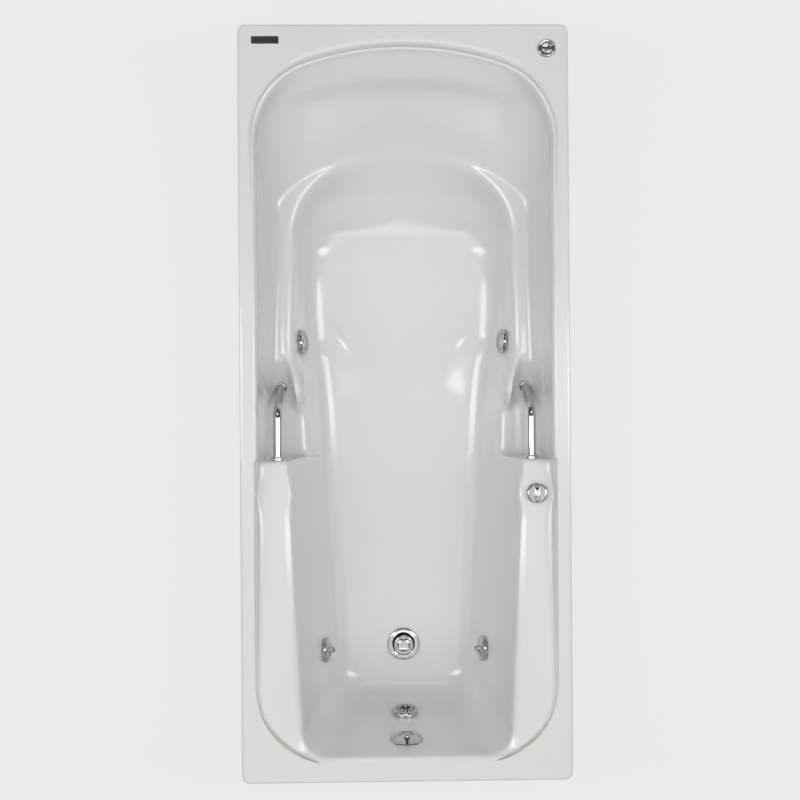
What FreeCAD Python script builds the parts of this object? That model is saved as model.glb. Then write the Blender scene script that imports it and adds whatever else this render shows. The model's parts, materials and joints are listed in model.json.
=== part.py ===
import FreeCAD, Part
import math
import os

from FreeCAD import Vector

# Jetted bathtub, millimetres. Origin: middle of the floor that it stands on.
# +Y points to the head end, +X to the side with the air control, +Z up.

os.makedirs("parts", exist_ok=True)

bath_length = 1829.0
bath_width = 800.0


def from_foot(distance):
    """Station on Y at a distance from the foot end."""
    return distance - bath_length / 2


def from_head(distance):
    """Station on Y at a distance from the head end."""
    return bath_length / 2 - distance


def inboard(distance):
    """Place on X at a distance from the outer edge of the side."""
    return bath_width / 2 - distance


# ---------------------------------------------------------------- driving sizes: shell
deck_height = 510.0          # top of the flat deck above the floor of the room
shell_thickness = 7.0        # acrylic with its glass fibre backing
skirt_depth = 35.0           # the deck's edge is turned down by this much
rim_corner_radius = 19.0
rim_edge_radius = 6.0
side_deck = 33.0             # deck between the outer edge and the basin, along the sides
head_deck = 58.5             # the same at the middle of the head end
foot_deck = 62.0             # the same at the foot end
ridge_rise = 10.0            # raised lip round the head end of the basin
ridge_width = 36.0
lip_inset = 9.0              # the lip rolls over by this much, inward and down
lip_rise_start = from_head(494.5)
lip_rise_end = from_head(244.5)
foot_roll_radius = 13.0      # rounded edge of the deck at the foot end
foot_corner_outer = 190.0
foot_corner_inner = 60.0
arch_corner_radius = 190.0
arch_crown_radius = 760.0
headrest_length = 60.0       # from the lip to the soft crease below the headrest
headrest_drop = 45.0
armrest_depth = 168.0
armrest_fillet = 14.0
notch_depth = 215.0          # hollow beside each grab bar
notch_foot_end = from_head(1052.5)   # end face of the foot ledge
notch_ramp_start = from_head(867.5)
notch_ramp_end = from_head(792.5)
step_slope = 2.5             # half the run of the notch's end face
foot_ledge_depth = 45.0      # at the notch, rising to the deck at the foot end
floor_depth_foot = 385.0     # at the drain
floor_depth_head = 350.0     # at the back of the seat
drain_y = from_foot(259.5)
seat_back_y = from_head(462.5)

# Half widths of the basin's lines, as (y, half width) from the foot end to the head end.
ledge_outer_foot = [(from_foot(124.5), inboard(38.0)), (from_head(1055.5), inboard(44.0))]
ledge_outer_head = [(from_head(1049.5), inboard(68.0)), (from_head(867.5), inboard(68.0)),
                    (from_head(792.5), inboard(67.0)), (from_head(740.5), inboard(69.0)),
                    (from_head(579.5), inboard(75.0))]
ledge_inner_foot = [(from_foot(135.5), inboard(141.0)), (from_foot(406.5), inboard(126.0)),
                    (from_head(1055.5), inboard(108.0))]
ledge_inner_head = [(from_head(1049.5), inboard(152.0)), (from_head(904.5), inboard(144.0)),
                    (from_head(792.5), inboard(119.0)), (from_head(740.5), inboard(116.0)),
                    (from_head(579.5), inboard(120.0))]
floor_width = [(from_foot(224.5), inboard(234.0)), (from_foot(384.5), inboard(226.0)),
               (from_foot(586.5), inboard(213.0)), (from_head(1069.5), inboard(204.0)),
               (from_head(904.5), inboard(194.0)), (from_head(823.5), inboard(184.0)),
               (from_head(748.5), inboard(173.0)), (from_head(664.5), inboard(168.0)),
               (from_head(574.5), inboard(170.0))]

# ---------------------------------------------------------------- driving sizes: fits
clearance = 0.3              # between pieces that move past each other
running_clearance = 0.1      # radial, of a pin in its bearing
hole_clearance = 0.5         # radial, of a fitting in its hole in the shell
socket_clearance = 0.15      # radial, of a pipe in its socket
gasket_thickness = 2.0
ring_thickness = 4.0         # front rings that clamp a fitting to the wall

# ---------------------------------------------------------------- driving sizes: base
runner_height = 60.0
runner_width = 38.0
runner_x = 150.0
runner_foot_y = from_foot(114.5)
board_thickness = 18.0
board_half_width = 185.0
board_foot_y = from_foot(354.5)
board_head_y = from_head(42.5)
block_length = 300.0         # across the bath
block_width = 60.0
block_places = [from_foot(434.5), from_head(1024.5), from_head(644.5)]
foot_block_y = from_foot(199.5)
board_screw_radius = 4.5
board_screw_length = 40.0

# ---------------------------------------------------------------- driving sizes: waste and overflow
drain_flange_radius = 43.5
drain_tube_radius = 24.0
drain_tube_bore = 20.5
drain_tube_length = 40.0
stopper_radius = 26.0
stopper_stem_radius = 4.0
waste_pipe_radius = 19.05    # one and a half inch tube
waste_pipe_bore = 17.3
waste_axis_height = 62.0
overflow_y = from_foot(27.5)
overflow_depth = 92.0
overflow_pipe_radius = 18.0
overflow_pipe_bore = 16.3
overflow_plate_radius = 40.0
overflow_hole_radius = 21.0
plate_screw_radius = 2.0
lever_pivot_back = 13.0      # behind the face of the wall
lever_throw = 18.0           # degrees
lever_pin_radius = 1.6
ear_end = 7.8                # outer faces of the ears that hold the lever, from the middle
link_rod_radius = 2.0
tail_clear = 8.0             # end of the tail pipe above the floor of the room
tail_end_step = 0.75         # the end glued in the tee is thinner by this
wall_of_fitting = 3.0

# ---------------------------------------------------------------- driving sizes: suction and jets
suction_depth = 237.0
suction_face_radius = 33.0
suction_tube_radius = 24.0
suction_chamber_radius = 27.0
suction_chamber_end = 54.0   # behind the face of the wall
suction_pipe_radius = 24.0
suction_pipe_bore = 21.0
suction_pipe_x = inboard(95.0)
jet_face_radius = 33.0
jet_tube_radius = 24.0
jet_chamber_radius = 27.0
jet_chamber_end = 62.0
jet_ball_radius = 14.0
jet_neck_share = 0.78        # opening of the socket that holds the ball
jet_bore_radius = 5.0
jet_upper = (from_head(755.5), 245.0)   # y and depth
jet_lower = (from_foot(271.5), 250.0)
jet_tilt = 15.0              # degrees each way
pressure_pipe_radius = 21.0
pressure_pipe_bore = 18.5
pressure_pipe_x = inboard(48.0)
pressure_pipe_height = deck_height - 252.0
air_pipe_radius = 10.5
air_pipe_bore = 8.5
air_pipe_x = inboard(28.0)
air_pipe_height = deck_height - 210.0
air_cross_y = from_head(149.5)
air_cross_half = 60.0        # half the length of the joining piece, without its sockets

# ---------------------------------------------------------------- driving sizes: controls and bars
air_knob_place = (inboard(78.0), from_head(1137.5))
air_knob_radius = 24.5
air_knob_height = 15.0
air_body_radius = 16.5
air_body_length = 46.0
button_place = (inboard(53.0), from_head(59.5))
button_radius = 15.0
button_travel = 3.0
bezel_radius = 22.0
badge_place = (-inboard(67.0), from_head(38.5))
badge_size = (66.0, 18.0, 1.6)
grab_bar_radius = 10.5
grab_bar_wall = 2.0
grab_bar_x = inboard(85.0)
grab_bar_depth = 85.0
grab_bar_straight_end = from_head(952.5)
grab_bar_bend = 30.0
grab_bar_slope = 65.0        # degrees below level
collar_radius = 15.5
nut_thickness = 8.0

# ---------------------------------------------------------------- driving sizes: pump
pump_y = from_head(199.5)
motor_radius = 62.0
motor_foot_end = -185.0      # along X
motor_head_end = 55.0
motor_fins = 28
fin_height = 6.0
volute_radius = 66.0
volute_width = 50.0
volute_wall = 5.0
impeller_radius = 48.0
impeller_vanes = 6
shaft_radius = 7.0
pump_port_radius = 21.0
pump_axis_height = runner_height + board_thickness + 68.0


def unit(vector):
    return Vector(vector).normalize()


# ---------------------------------------------------------------- lines round the basin
flat_steps = 4               # points of a line before it is spaced evenly
bend_steps = 9
side_steps = 12
ramp_steps = 6
foot_spans = 30              # even spans of a basin line, from the foot middle to the notch
head_spans = 40              # and from the notch to the head middle


def law(keys, y):
    """Value at y of a smooth curve through the keys, level beyond both ends."""
    if y <= keys[0][0]:
        return keys[0][1]
    if y >= keys[-1][0]:
        return keys[-1][1]
    last = len(keys) - 1
    index = max(k for k in range(last) if keys[k][0] <= y)

    def slope(k):
        before = keys[max(k - 1, 0)]
        after = keys[min(k + 1, last)]
        return (after[1] - before[1]) / (after[0] - before[0])

    y0, v0 = keys[index]
    y1, v1 = keys[index + 1]
    run = y1 - y0
    t = (y - y0) / run
    value = v0 * (2 * t**3 - 3 * t**2 + 1) + v1 * (3 * t**2 - 2 * t**3)
    value += run * slope(index) * (t**3 - 2 * t**2 + t)
    value += run * slope(index + 1) * (t**3 - t**2)
    return value


def ease(t):
    return t * t * (3 - 2 * t)


def steps(start, end, count):
    """count values from start towards end, without the end itself."""
    return [start + (end - start) * k / count for k in range(count)]


def spaced(points, spans):
    """The same line with its points evenly spaced."""
    reach = [0.0]
    for before, after in zip(points, points[1:]):
        reach.append(reach[-1] + (after - before).Length)
    result = []
    index = 0
    for k in range(spans + 1):
        target = reach[-1] * k / spans
        while index < len(points) - 2 and reach[index + 1] < target:
            index += 1
        share = (target - reach[index]) / (reach[index + 1] - reach[index])
        result.append(points[index] + (points[index + 1] - points[index]) * share)
    return result


class Line:
    """One closed line round the basin, given by its half from the foot middle to the head middle."""

    def __init__(self, foot, head, width_foot, width_head, depth_foot, depth_head, crown_depth):
        self.foot_y, self.foot_radius = foot
        self.head_y, self.head_radius, self.crown_radius = head
        self.width_foot = width_foot
        self.width_head = width_head
        self.depth_foot = depth_foot
        self.depth_head = depth_head
        self.crown_depth = crown_depth

    def foot_points(self):
        """From the foot middle to the foot side of the notch's end face."""
        radius = self.foot_radius
        bend_end = self.foot_y + radius
        centre_x = law(self.width_foot, bend_end) - radius
        plan = [(x, self.foot_y) for x in steps(0.0, centre_x, flat_steps)]
        for angle in steps(0.0, math.pi / 2, bend_steps):
            plan.append((centre_x + radius * math.sin(angle), bend_end - radius * math.cos(angle)))
        last = notch_foot_end - step_slope
        for y in steps(bend_end, last, side_steps) + [last]:
            plan.append((law(self.width_foot, y), y))
        return [Vector(x, y, deck_height - self.depth_foot(y)) for x, y in plan]

    def head_points(self):
        """From the notch side of its end face to the head middle."""
        width = self.width_head[-1][1]
        radius = self.head_radius
        crown = self.crown_radius
        crown_y = self.head_y - crown
        bend_y = crown_y + math.sqrt((crown - radius) ** 2 - (width - radius) ** 2)
        side = steps(notch_foot_end + step_slope, notch_ramp_start, flat_steps)
        side += steps(notch_ramp_start, notch_ramp_end, ramp_steps)
        side += steps(notch_ramp_end, bend_y, side_steps)
        points = []
        for y in side:
            points.append(Vector(law(self.width_head, y), y, deck_height - self.depth_head(y)))
        tangent = math.atan2(bend_y - crown_y, width - radius)
        plan = []
        for angle in steps(0.0, tangent, bend_steps):
            plan.append((width - radius + radius * math.cos(angle), bend_y + radius * math.sin(angle)))
        for angle in steps(tangent, math.pi / 2, bend_steps):
            plan.append((crown * math.cos(angle), crown_y + crown * math.sin(angle)))
        plan.append((0.0, self.head_y))
        side_depth = self.depth_head(bend_y)
        for x, y in plan:
            share = ease(1.0 - x / width)
            points.append(Vector(x, y, deck_height - side_depth - (self.crown_depth - side_depth) * share))
        return points

    def halves(self):
        return self.foot_points(), self.head_points()


def level(depth):
    return lambda y: depth


def floor_depth(y):
    slope = (floor_depth_head - floor_depth_foot) / (seat_back_y - drain_y)
    return floor_depth_foot + slope * (y - drain_y)


foot_edge_y = -bath_length / 2 + foot_deck
ledge_rise_end = foot_edge_y + 25.0


def ledge_foot_depth(y):
    """Depth of the foot ledge: level with the deck at the foot end, deepest at the notch."""
    share = (y - ledge_rise_end) / (notch_foot_end - ledge_rise_end)
    return foot_ledge_depth * max(0.0, share)


def ledge_head_depth(y):
    """Depth of the notch floor, its ramp and the armrest."""
    share = (y - notch_ramp_start) / (notch_ramp_end - notch_ramp_start)
    return notch_depth + (armrest_depth - notch_depth) * ease(min(1.0, max(0.0, share)))


def deeper(depth_law, extra):
    return lambda y: depth_law(y) + extra


def between(law_a, law_b, share):
    return lambda y: law_a(y) + (law_b(y) - law_a(y)) * share


def shifted(keys, change):
    return [(y, width + change) for y, width in keys]


def mixed(keys_a, keys_b, share):
    """Width law between two others, on the first one's stations."""
    return [(y, width + (law(keys_b, y) - width) * share) for y, width in keys_a]


half_length = bath_length / 2
half_width = bath_width / 2
rim_width = half_width - side_deck
arch_y = half_length - head_deck
wall_draft = (rim_width - ledge_outer_head[-2][1]) / armrest_depth


def lip_rise(y):
    """The lip rises from the deck over the last stretch of the side towards the head."""
    share = (y - lip_rise_start) / (lip_rise_end - lip_rise_start)
    return ridge_rise * ease(min(1.0, max(0.0, share)))


def foot_roll(angle):
    """Place and depth on the rounded edge of the foot end's deck."""
    roll = math.radians(angle)
    return (foot_edge_y - foot_roll_radius * (1 - math.sin(roll)), foot_roll_radius * (1 - math.cos(roll)))


def basin_line(roll, foot_radius, foot_share, width_foot, head, width_head, depth_head, crown_depth):
    """A line between the deck and the inner edge of the ledges."""
    foot_y, extra = foot_roll(roll)
    depth_foot = deeper(lambda y: foot_share * ledge_foot_depth(y), extra)
    return Line((foot_y, foot_radius), head, width_foot, width_head, depth_foot, depth_head, crown_depth)


def lip_line(roll, inset, drop, foot_share):
    """A line on the lip, where the deck rolls over into the basin."""
    head = (arch_y - inset, arch_corner_radius - inset * 0.4, arch_crown_radius - inset)
    width_foot = mixed([(0.0, rim_width)], ledge_outer_foot, foot_share)
    return basin_line(roll, foot_corner_outer, foot_share, width_foot, head, [(0.0, rim_width - inset)],
                      lambda y: drop - lip_rise(y), drop - ridge_rise)


def wall_line(foot, head, width_change, depth_foot, depth_head, crown_depth):
    """A line near the floor, parallel to the floor's outline."""
    widths = shifted(floor_width, width_change)
    return Line(foot, head, widths, widths, depth_foot, depth_head, crown_depth)


ridge_foot = Line((foot_edge_y - foot_roll_radius - 4.0, foot_corner_outer),
                  (arch_y + ridge_width, arch_corner_radius + 14.0, arch_crown_radius + ridge_width),
                  [(0.0, rim_width + 3.0)], [(0.0, rim_width + 6.0)], level(0.0), level(0.0), 0.0)
crease = basin_line(10.0, foot_corner_outer - 3.0, 0.6, mixed([(0.0, rim_width)], ledge_outer_foot, 0.7),
                    (arch_y - headrest_length, 150.0, 1000.0),
                    [(0.0, rim_width - headrest_drop * wall_draft)], level(headrest_drop), headrest_drop)
upper_fillet = basin_line(14.0, foot_corner_outer - 5.0, 0.85, shifted(ledge_outer_foot, 1.0),
                          (from_head(236.5), 90.0, 450.0), shifted(ledge_outer_head, 3.0),
                          deeper(ledge_head_depth, -armrest_fillet), 175.0)
ledge_outer = basin_line(18.0, foot_corner_outer - 15.0, 1.0, shifted(ledge_outer_foot, -9.0),
                         (from_head(259.5), 66.0, 420.0), shifted(ledge_outer_head, -9.0),
                         ledge_head_depth, 197.0)
ledge_inner = basin_line(45.0, foot_corner_inner + 10.0, 1.0, shifted(ledge_inner_foot, 14.0),
                         (from_head(280.5), 200.0, 500.0), shifted(ledge_inner_head, 12.0),
                         deeper(ledge_head_depth, 0.5), 216.0)
ledge_round = basin_line(62.0, foot_corner_inner + 4.0, 1.0, shifted(ledge_inner_foot, 3.0),
                         (from_head(288.5), 190.0, 500.0), shifted(ledge_inner_head, 2.5),
                         deeper(ledge_head_depth, 4.5), 224.0)
ledge_edge = basin_line(80.0, foot_corner_inner, 1.0, shifted(ledge_inner_foot, -3.5),
                        (from_head(296.5), 180.0, 500.0), shifted(ledge_inner_head, -4.0),
                        deeper(ledge_head_depth, 15.0), 232.0)
wall_middle = Line((from_foot(99.5), 70.0), (from_head(354.5), 130.0, 700.0),
                   mixed(shifted(ledge_inner_foot, -4.0), floor_width, 0.45),
                   mixed(shifted(ledge_inner_head, -4.0), shifted(floor_width, 8.0), 0.5),
                   between(ledge_foot_depth, floor_depth, 0.5),
                   between(ledge_head_depth, floor_depth, 0.55), 285.0)

basin_lines = [
    ridge_foot,
    lip_line(0.0, 0.0, 0.0, 0.0),
    lip_line(3.0, lip_inset * 0.55, lip_inset * 0.2, 0.12),
    lip_line(6.0, lip_inset, lip_inset, 0.35),
    crease, upper_fillet, ledge_outer, ledge_inner, ledge_round, ledge_edge, wall_middle,
    wall_line((from_foot(126.5), 70.0), (from_head(409.5), 95.0, 1200.0), 17.0,
              deeper(floor_depth, -48.0), deeper(floor_depth, -44.0), 321.0),
    wall_line((from_foot(142.5), 62.0), (from_head(442.5), 80.0, 1800.0), 3.0,
              deeper(floor_depth, -15.0), deeper(floor_depth, -13.0), floor_depth(seat_back_y) - 12.0),
    wall_line((from_foot(172.5), 45.0), (from_head(474.5), 62.0, 2500.0), -22.0,
              floor_depth, floor_depth, floor_depth(from_head(474.5)))]
under_lines = [2, 4, 5, 6, 8, 10, 11, 12, 13]   # basin lines that the underside follows


# ---------------------------------------------------------------- bath shell
def on_floor(point):
    """The floor's edge lies in one sloping plane."""
    return Vector(point.x, point.y, deck_height - floor_depth(point.y))


def basin_grid():
    grid = []
    for line in basin_lines:
        foot, head = line.halves()
        grid.append(spaced(foot, foot_spans) + spaced(head, head_spans))
    grid[-1] = [on_floor(point) for point in grid[-1]]
    return grid


def mirror_x(vector):
    return Vector(-vector.x, vector.y, vector.z)


def neighbour(row, index):
    """A point of the half line, reflected past its two ends on the middle plane."""
    if index < 0:
        return mirror_x(row[1])
    if index >= len(row):
        return mirror_x(row[-2])
    return row[index]


def strip_normal(upper, lower, i):
    """Normal of the strip between two lines near station i, away from the material."""
    along = neighbour(upper, i + 1) - neighbour(upper, i - 1)
    along += neighbour(lower, i + 1) - neighbour(lower, i - 1)
    return unit(along.cross(lower[i] - upper[i]))


def under_grid(grid):
    """The underside of the basin: its lines moved inward by the wall's thickness."""
    floor_normal = strip_normal(grid[-1], [Vector(0.0, p.y, on_floor(p).z) for p in grid[-1]], 20)
    kept = [grid[1]] + [grid[j] for j in under_lines]
    under = []
    for j in range(1, len(kept)):
        moved = []
        for i, point in enumerate(kept[j]):
            if j == len(kept) - 1:
                moved.append(point - floor_normal * shell_thickness)
                continue
            above = strip_normal(kept[j - 1], kept[j], i)
            below = strip_normal(kept[j], kept[j + 1], i)
            middle = unit(below + above)
            target = point - middle * (shell_thickness / max(0.75, middle.dot(below)))
            if i in (0, len(kept[j]) - 1):
                target.x = 0.0
            moved.append(target)
        under.append(moved)
    return under


def rim_loop(inset, depth):
    """The rim's rounded rectangle, inset from the outer edge."""
    x = half_width - inset
    y = half_length - inset
    z = deck_height - depth
    radius = rim_corner_radius - inset * 0.5
    near = radius * (1 - math.sqrt(0.5))
    corners = []
    for side_x, side_y in ((1, -1), (1, 1), (-1, 1), (-1, -1)):
        flat = Vector(side_x * (x - radius), side_y * y, z)
        side = Vector(side_x * x, side_y * (y - radius), z)
        middle = Vector(side_x * (x - near), side_y * (y - near), z)
        ends = (flat, side) if side_x * side_y < 0 else (side, flat)
        corners.append((ends[0], middle, ends[1]))
    edges = []
    for corner, following in zip(corners, corners[1:] + corners[:1]):
        edges.append(Part.Arc(*corner).toShape())
        edges.append(Part.makeLine(corner[2], following[0]))
    return edges


def edge_through(points):
    curve = Part.BSplineCurve()
    curve.interpolate(Points=points, Parameters=[k / (len(points) - 1) for k in range(len(points))])
    return curve.toShape()


def basin_loop(row):
    """The six edges of one closed line: foot, step and head of each half."""
    foot = row[:foot_spans + 1]
    head = row[foot_spans + 1:]
    left_foot = [mirror_x(point) for point in reversed(foot)]
    left_head = [mirror_x(point) for point in reversed(head)]
    edges = []
    for start, end in ((foot, head), (left_head, left_foot)):
        edges.append(edge_through(start))
        edges.append(Part.makeLine(start[-1], end[0]))
        edges.append(edge_through(end))
    return edges


def strips(loops):
    faces = []
    for loop, following in zip(loops, loops[1:]):
        for edge, other in zip(loop, following):
            faces.append(Part.makeRuledSurface(edge, other, 1))
    return faces


def ring_face(outer, inner):
    hole = Part.Wire(inner)
    hole.reverse()
    return Part.Face([Part.Wire(outer), hole])


def make_shell():
    grid = basin_grid()
    under_deck = [Vector(p.x, p.y, deck_height - shell_thickness) for p in grid[1]]
    outer_rim = [rim_loop(0.0, skirt_depth),
                 rim_loop(0.0, rim_edge_radius),
                 rim_loop(rim_edge_radius * 0.3, rim_edge_radius * 0.3),
                 rim_loop(rim_edge_radius, 0.0)]
    under_rim = [rim_loop(shell_thickness, skirt_depth), rim_loop(shell_thickness, shell_thickness)]
    basin = [basin_loop(row) for row in grid]
    under = [basin_loop(row) for row in [under_deck] + under_grid(grid)]
    faces = strips(basin) + strips(outer_rim) + strips(under_rim) + strips(under)
    faces.append(ring_face(outer_rim[0], under_rim[0]))
    faces.append(ring_face(outer_rim[-1], basin[0]))
    faces.append(ring_face(under_rim[-1], under[0]))
    faces.append(Part.Face(Part.Wire(basin[-1])))
    faces.append(Part.Face(Part.Wire(under[-1])))
    compound = Part.makeCompound(faces)
    compound.sewShape()
    solid = Part.makeSolid(Part.Shell(compound.Faces))
    if solid.Volume < 0:
        solid.reverse()
    return solid


def save(name, shape):
    shape.exportStep("parts/" + name + ".step")


def group(name, solids):
    save(name, Part.makeCompound(solids))


# ---------------------------------------------------------------- helpers for fittings
Z_AXIS = Vector(0.0, 0.0, 1.0)


def disc(radius, start, end):
    """Cylinder about Z between two heights."""
    low, high = min(start, end), max(start, end)
    return Part.makeCylinder(radius, high - low, Vector(0.0, 0.0, low))


def ring(outer, inner, start, end):
    return disc(outer, start, end).cut(disc(inner, start, end))


def turned(profile):
    """Solid turned about Z from (radius, height) points."""
    points = [Vector(radius, 0.0, height) for radius, height in profile]
    face = Part.Face(Part.makePolygon(points + points[:1]))
    return face.revolve(Vector(0.0, 0.0, 0.0), Z_AXIS, 360.0)


def bar(start, end, radius):
    return Part.makeCylinder(radius, (end - start).Length, start, end - start)


def block(low, high):
    size = high - low
    return Part.makeBox(size.x, size.y, size.z, low)


def hexagon(across_flats, bore, start, end):
    """Hexagonal nut about Z."""
    radius = across_flats / math.sqrt(3.0)
    corners = [Vector(radius * math.cos(math.radians(60 * k)), radius * math.sin(math.radians(60 * k)), start)
               for k in range(6)]
    prism = Part.Face(Part.makePolygon(corners + corners[:1])).extrude(Vector(0.0, 0.0, end - start))
    return prism.cut(disc(bore, start - 1.0, end + 1.0))


def surface_hit(start, direction):
    """First point of the bare shell's surface on a ray."""
    found = shell.common(Part.makeLine(start, start + direction * half_length))
    return min((vertex.Point for vertex in found.Vertexes), key=lambda point: (point - start).Length)


def wall_spot(start, direction, spread=9.0):
    """Placement on the shell: Z along the surface's normal, towards the ray's start."""
    direction = unit(direction)
    first = unit(direction.cross(Vector(0.0, 1.0, 0.0)) if abs(direction.y) < 0.5
                 else direction.cross(Vector(1.0, 0.0, 0.0)))
    second = unit(direction.cross(first))
    hits = [surface_hit(start + side * spread, direction)
            for side in (first, first * -1.0, second, second * -1.0)]
    normal = unit((hits[0] - hits[1]).cross(hits[2] - hits[3]))
    if normal.dot(direction) > 0:
        normal = normal * -1.0
    return FreeCAD.Placement(surface_hit(start, direction), FreeCAD.Rotation(Z_AXIS, normal))


def mirrored(shape):
    return shape.mirror(Vector(0.0, 0.0, 0.0), Vector(1.0, 0.0, 0.0))


def put(shape, place):
    moved = shape.copy()
    moved.Placement = place.multiply(moved.Placement)
    return moved


def seated(shape, other, place, outside=False):
    """The shape cut to the surface that it sits on: only its piece on the named side is kept."""
    moved = put(shape, place).cut(other)
    height = lambda solid: place.inverse().multVec(solid.CenterOfMass).z
    return (min if outside else max)(moved.Solids, key=height)


def rounded_path(points, radius):
    """Straight runs joined by tangent arcs."""
    edges = []
    start = points[0]
    for before, corner, after in zip(points, points[1:], points[2:]):
        back = unit(before - corner)
        ahead = unit(after - corner)
        half = math.acos(max(-1.0, min(1.0, back.dot(ahead)))) / 2
        reach = radius / math.tan(half)
        enter = corner + back * reach
        leave = corner + ahead * reach
        middle = corner + unit(back + ahead) * (radius / math.sin(half) - radius)
        edges.append(Part.makeLine(start, enter))
        edges.append(Part.Arc(enter, middle, leave).toShape())
        start = leave
    edges.append(Part.makeLine(start, points[-1]))
    return edges


def swept(edges, radius):
    direction = edges[0].tangentAt(edges[0].FirstParameter)
    profile = Part.Wire(Part.makeCircle(radius, edges[0].Vertexes[0].Point, direction))
    return Part.Wire(edges).makePipeShell([profile], True, True)


def pipe_run(points, outer, bend, branches=(), collar=24.0):
    """Outside of a glued pipe run: swept pipe, a collar at each end of each bend, and branches."""
    edges = rounded_path(points, bend)
    solid = swept(edges, outer)
    for index in range(1, len(edges) - 1, 2):
        arc = edges[index]
        for end, sign in ((arc.Vertexes[0].Point, -1.0), (arc.Vertexes[-1].Point, 1.0)):
            straight = edges[index + int(sign)]
            direction = straight.tangentAt(straight.FirstParameter) * sign
            solid = solid.fuse(bar(end, end + direction * collar, outer + wall_of_fitting))
    for start, end, radius in branches:
        solid = solid.fuse(bar(start, end, radius))
    return solid


def pipe_bore(points, inner, bend, branches=()):
    solid = swept(rounded_path(points, bend), inner)
    for start, end, radius in branches:
        solid = solid.fuse(bar(start, end, radius))
    return solid


# ---------------------------------------------------------------- bare shell and places on it
shell = make_shell()
drain_spot = wall_spot(Vector(0.0, drain_y, deck_height), Vector(0.0, 0.0, -1.0))
suction_spot = wall_spot(Vector(0.0, 0.0, deck_height - suction_depth), Vector(0.0, -1.0, 0.0))
overflow_spot = wall_spot(Vector(0.0, 0.0, deck_height - overflow_depth), Vector(0.0, -1.0, 0.0))
knob_spot = wall_spot(Vector(air_knob_place[0], air_knob_place[1], deck_height + 50.0),
                      Vector(0.0, 0.0, -1.0))
jet_names = []
jet_spots = []
for row_name, (jet_y, jet_depth) in (("upper", jet_upper), ("lower", jet_lower)):
    for side_name, side in (("left", -1.0), ("right", 1.0)):
        jet_names.append(row_name + "_" + side_name)
        jet_spots.append(wall_spot(Vector(0.0, jet_y, deck_height - jet_depth), Vector(side, 0.0, 0.0)))
upright = FreeCAD.Rotation(Z_AXIS, Z_AXIS)
drain_place = FreeCAD.Placement(drain_spot.Base, upright)
button_spot = FreeCAD.Placement(Vector(button_place[0], button_place[1], deck_height), upright)

# ---------------------------------------------------------------- grab bars
grab_bar_height = deck_height - grab_bar_depth
slope = math.radians(grab_bar_slope)
bend_corner = Vector(grab_bar_x, grab_bar_straight_end + grab_bar_bend * math.tan(slope / 2), grab_bar_height)
bar_down = Vector(0.0, math.cos(slope), -math.sin(slope))
notch_floor = deck_height - notch_depth
bar_foot = bend_corner + bar_down * ((grab_bar_height - notch_floor) / math.sin(slope))
bar_behind = 26.0            # length of each end behind the shell
bar_start = Vector(grab_bar_x, notch_foot_end - shell_thickness - bar_behind, grab_bar_height)
bar_end = bar_foot + bar_down * (shell_thickness + bar_behind)
bar_path = rounded_path([bar_start, bend_corner, bar_end], grab_bar_bend)
bar_solid = swept(bar_path, grab_bar_radius)
bar_tube = bar_solid.cut(swept(bar_path, grab_bar_radius - grab_bar_wall))
bar_ends = [FreeCAD.Placement(Vector(grab_bar_x, notch_foot_end, grab_bar_height),
                              FreeCAD.Rotation(Z_AXIS, Vector(0.0, 1.0, 0.0))),
            FreeCAD.Placement(bar_foot, FreeCAD.Rotation(Z_AXIS, bar_down * -1.0))]

# ---------------------------------------------------------------- trip lever's pivot and throw
lever_pivot = overflow_spot.multVec(Vector(0.0, 0.0, -lever_pivot_back))
lever_arm = lever_pivot.y - overflow_y - 4.0         # from the pivot back to the link rod
half_throw = math.radians(lever_throw / 2)
stopper_lift = 2 * lever_arm * math.sin(half_throw)
rocker_y = (drain_y + overflow_y) / 2
rocker_pivot_height = waste_axis_height - waste_pipe_bore + 4.6

# ---------------------------------------------------------------- bath shell with its holes
holes = []
for spot in jet_spots:
    holes.append(put(disc(jet_tube_radius + hole_clearance, -40.0, 40.0), spot))
holes.append(put(disc(suction_tube_radius + hole_clearance, -40.0, 40.0), suction_spot))
holes.append(put(disc(overflow_hole_radius, -40.0, 30.0), overflow_spot))
plate_screw_x = overflow_hole_radius + 5.0
for x in (-plate_screw_x, plate_screw_x):
    hole = disc(plate_screw_radius + clearance, -20.0, 10.0)
    hole.translate(Vector(x, 0.0, 0.0))
    holes.append(put(hole, overflow_spot))
holes.append(put(disc(drain_tube_radius + hole_clearance, -30.0, 30.0), drain_place))
holes.append(put(disc(air_body_radius + hole_clearance, -20.0, 20.0), knob_spot))
holes.append(put(disc(button_radius + wall_of_fitting + hole_clearance, -20.0, 20.0), button_spot))
for place in bar_ends:
    hole = put(disc(grab_bar_radius + hole_clearance, -30.0, 30.0), place)
    holes.append(hole)
    holes.append(mirrored(hole))
bath_shell = shell.cut(holes)
save("bath_shell", bath_shell)


# ---------------------------------------------------------------- base
board_top = runner_height + board_thickness


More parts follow.
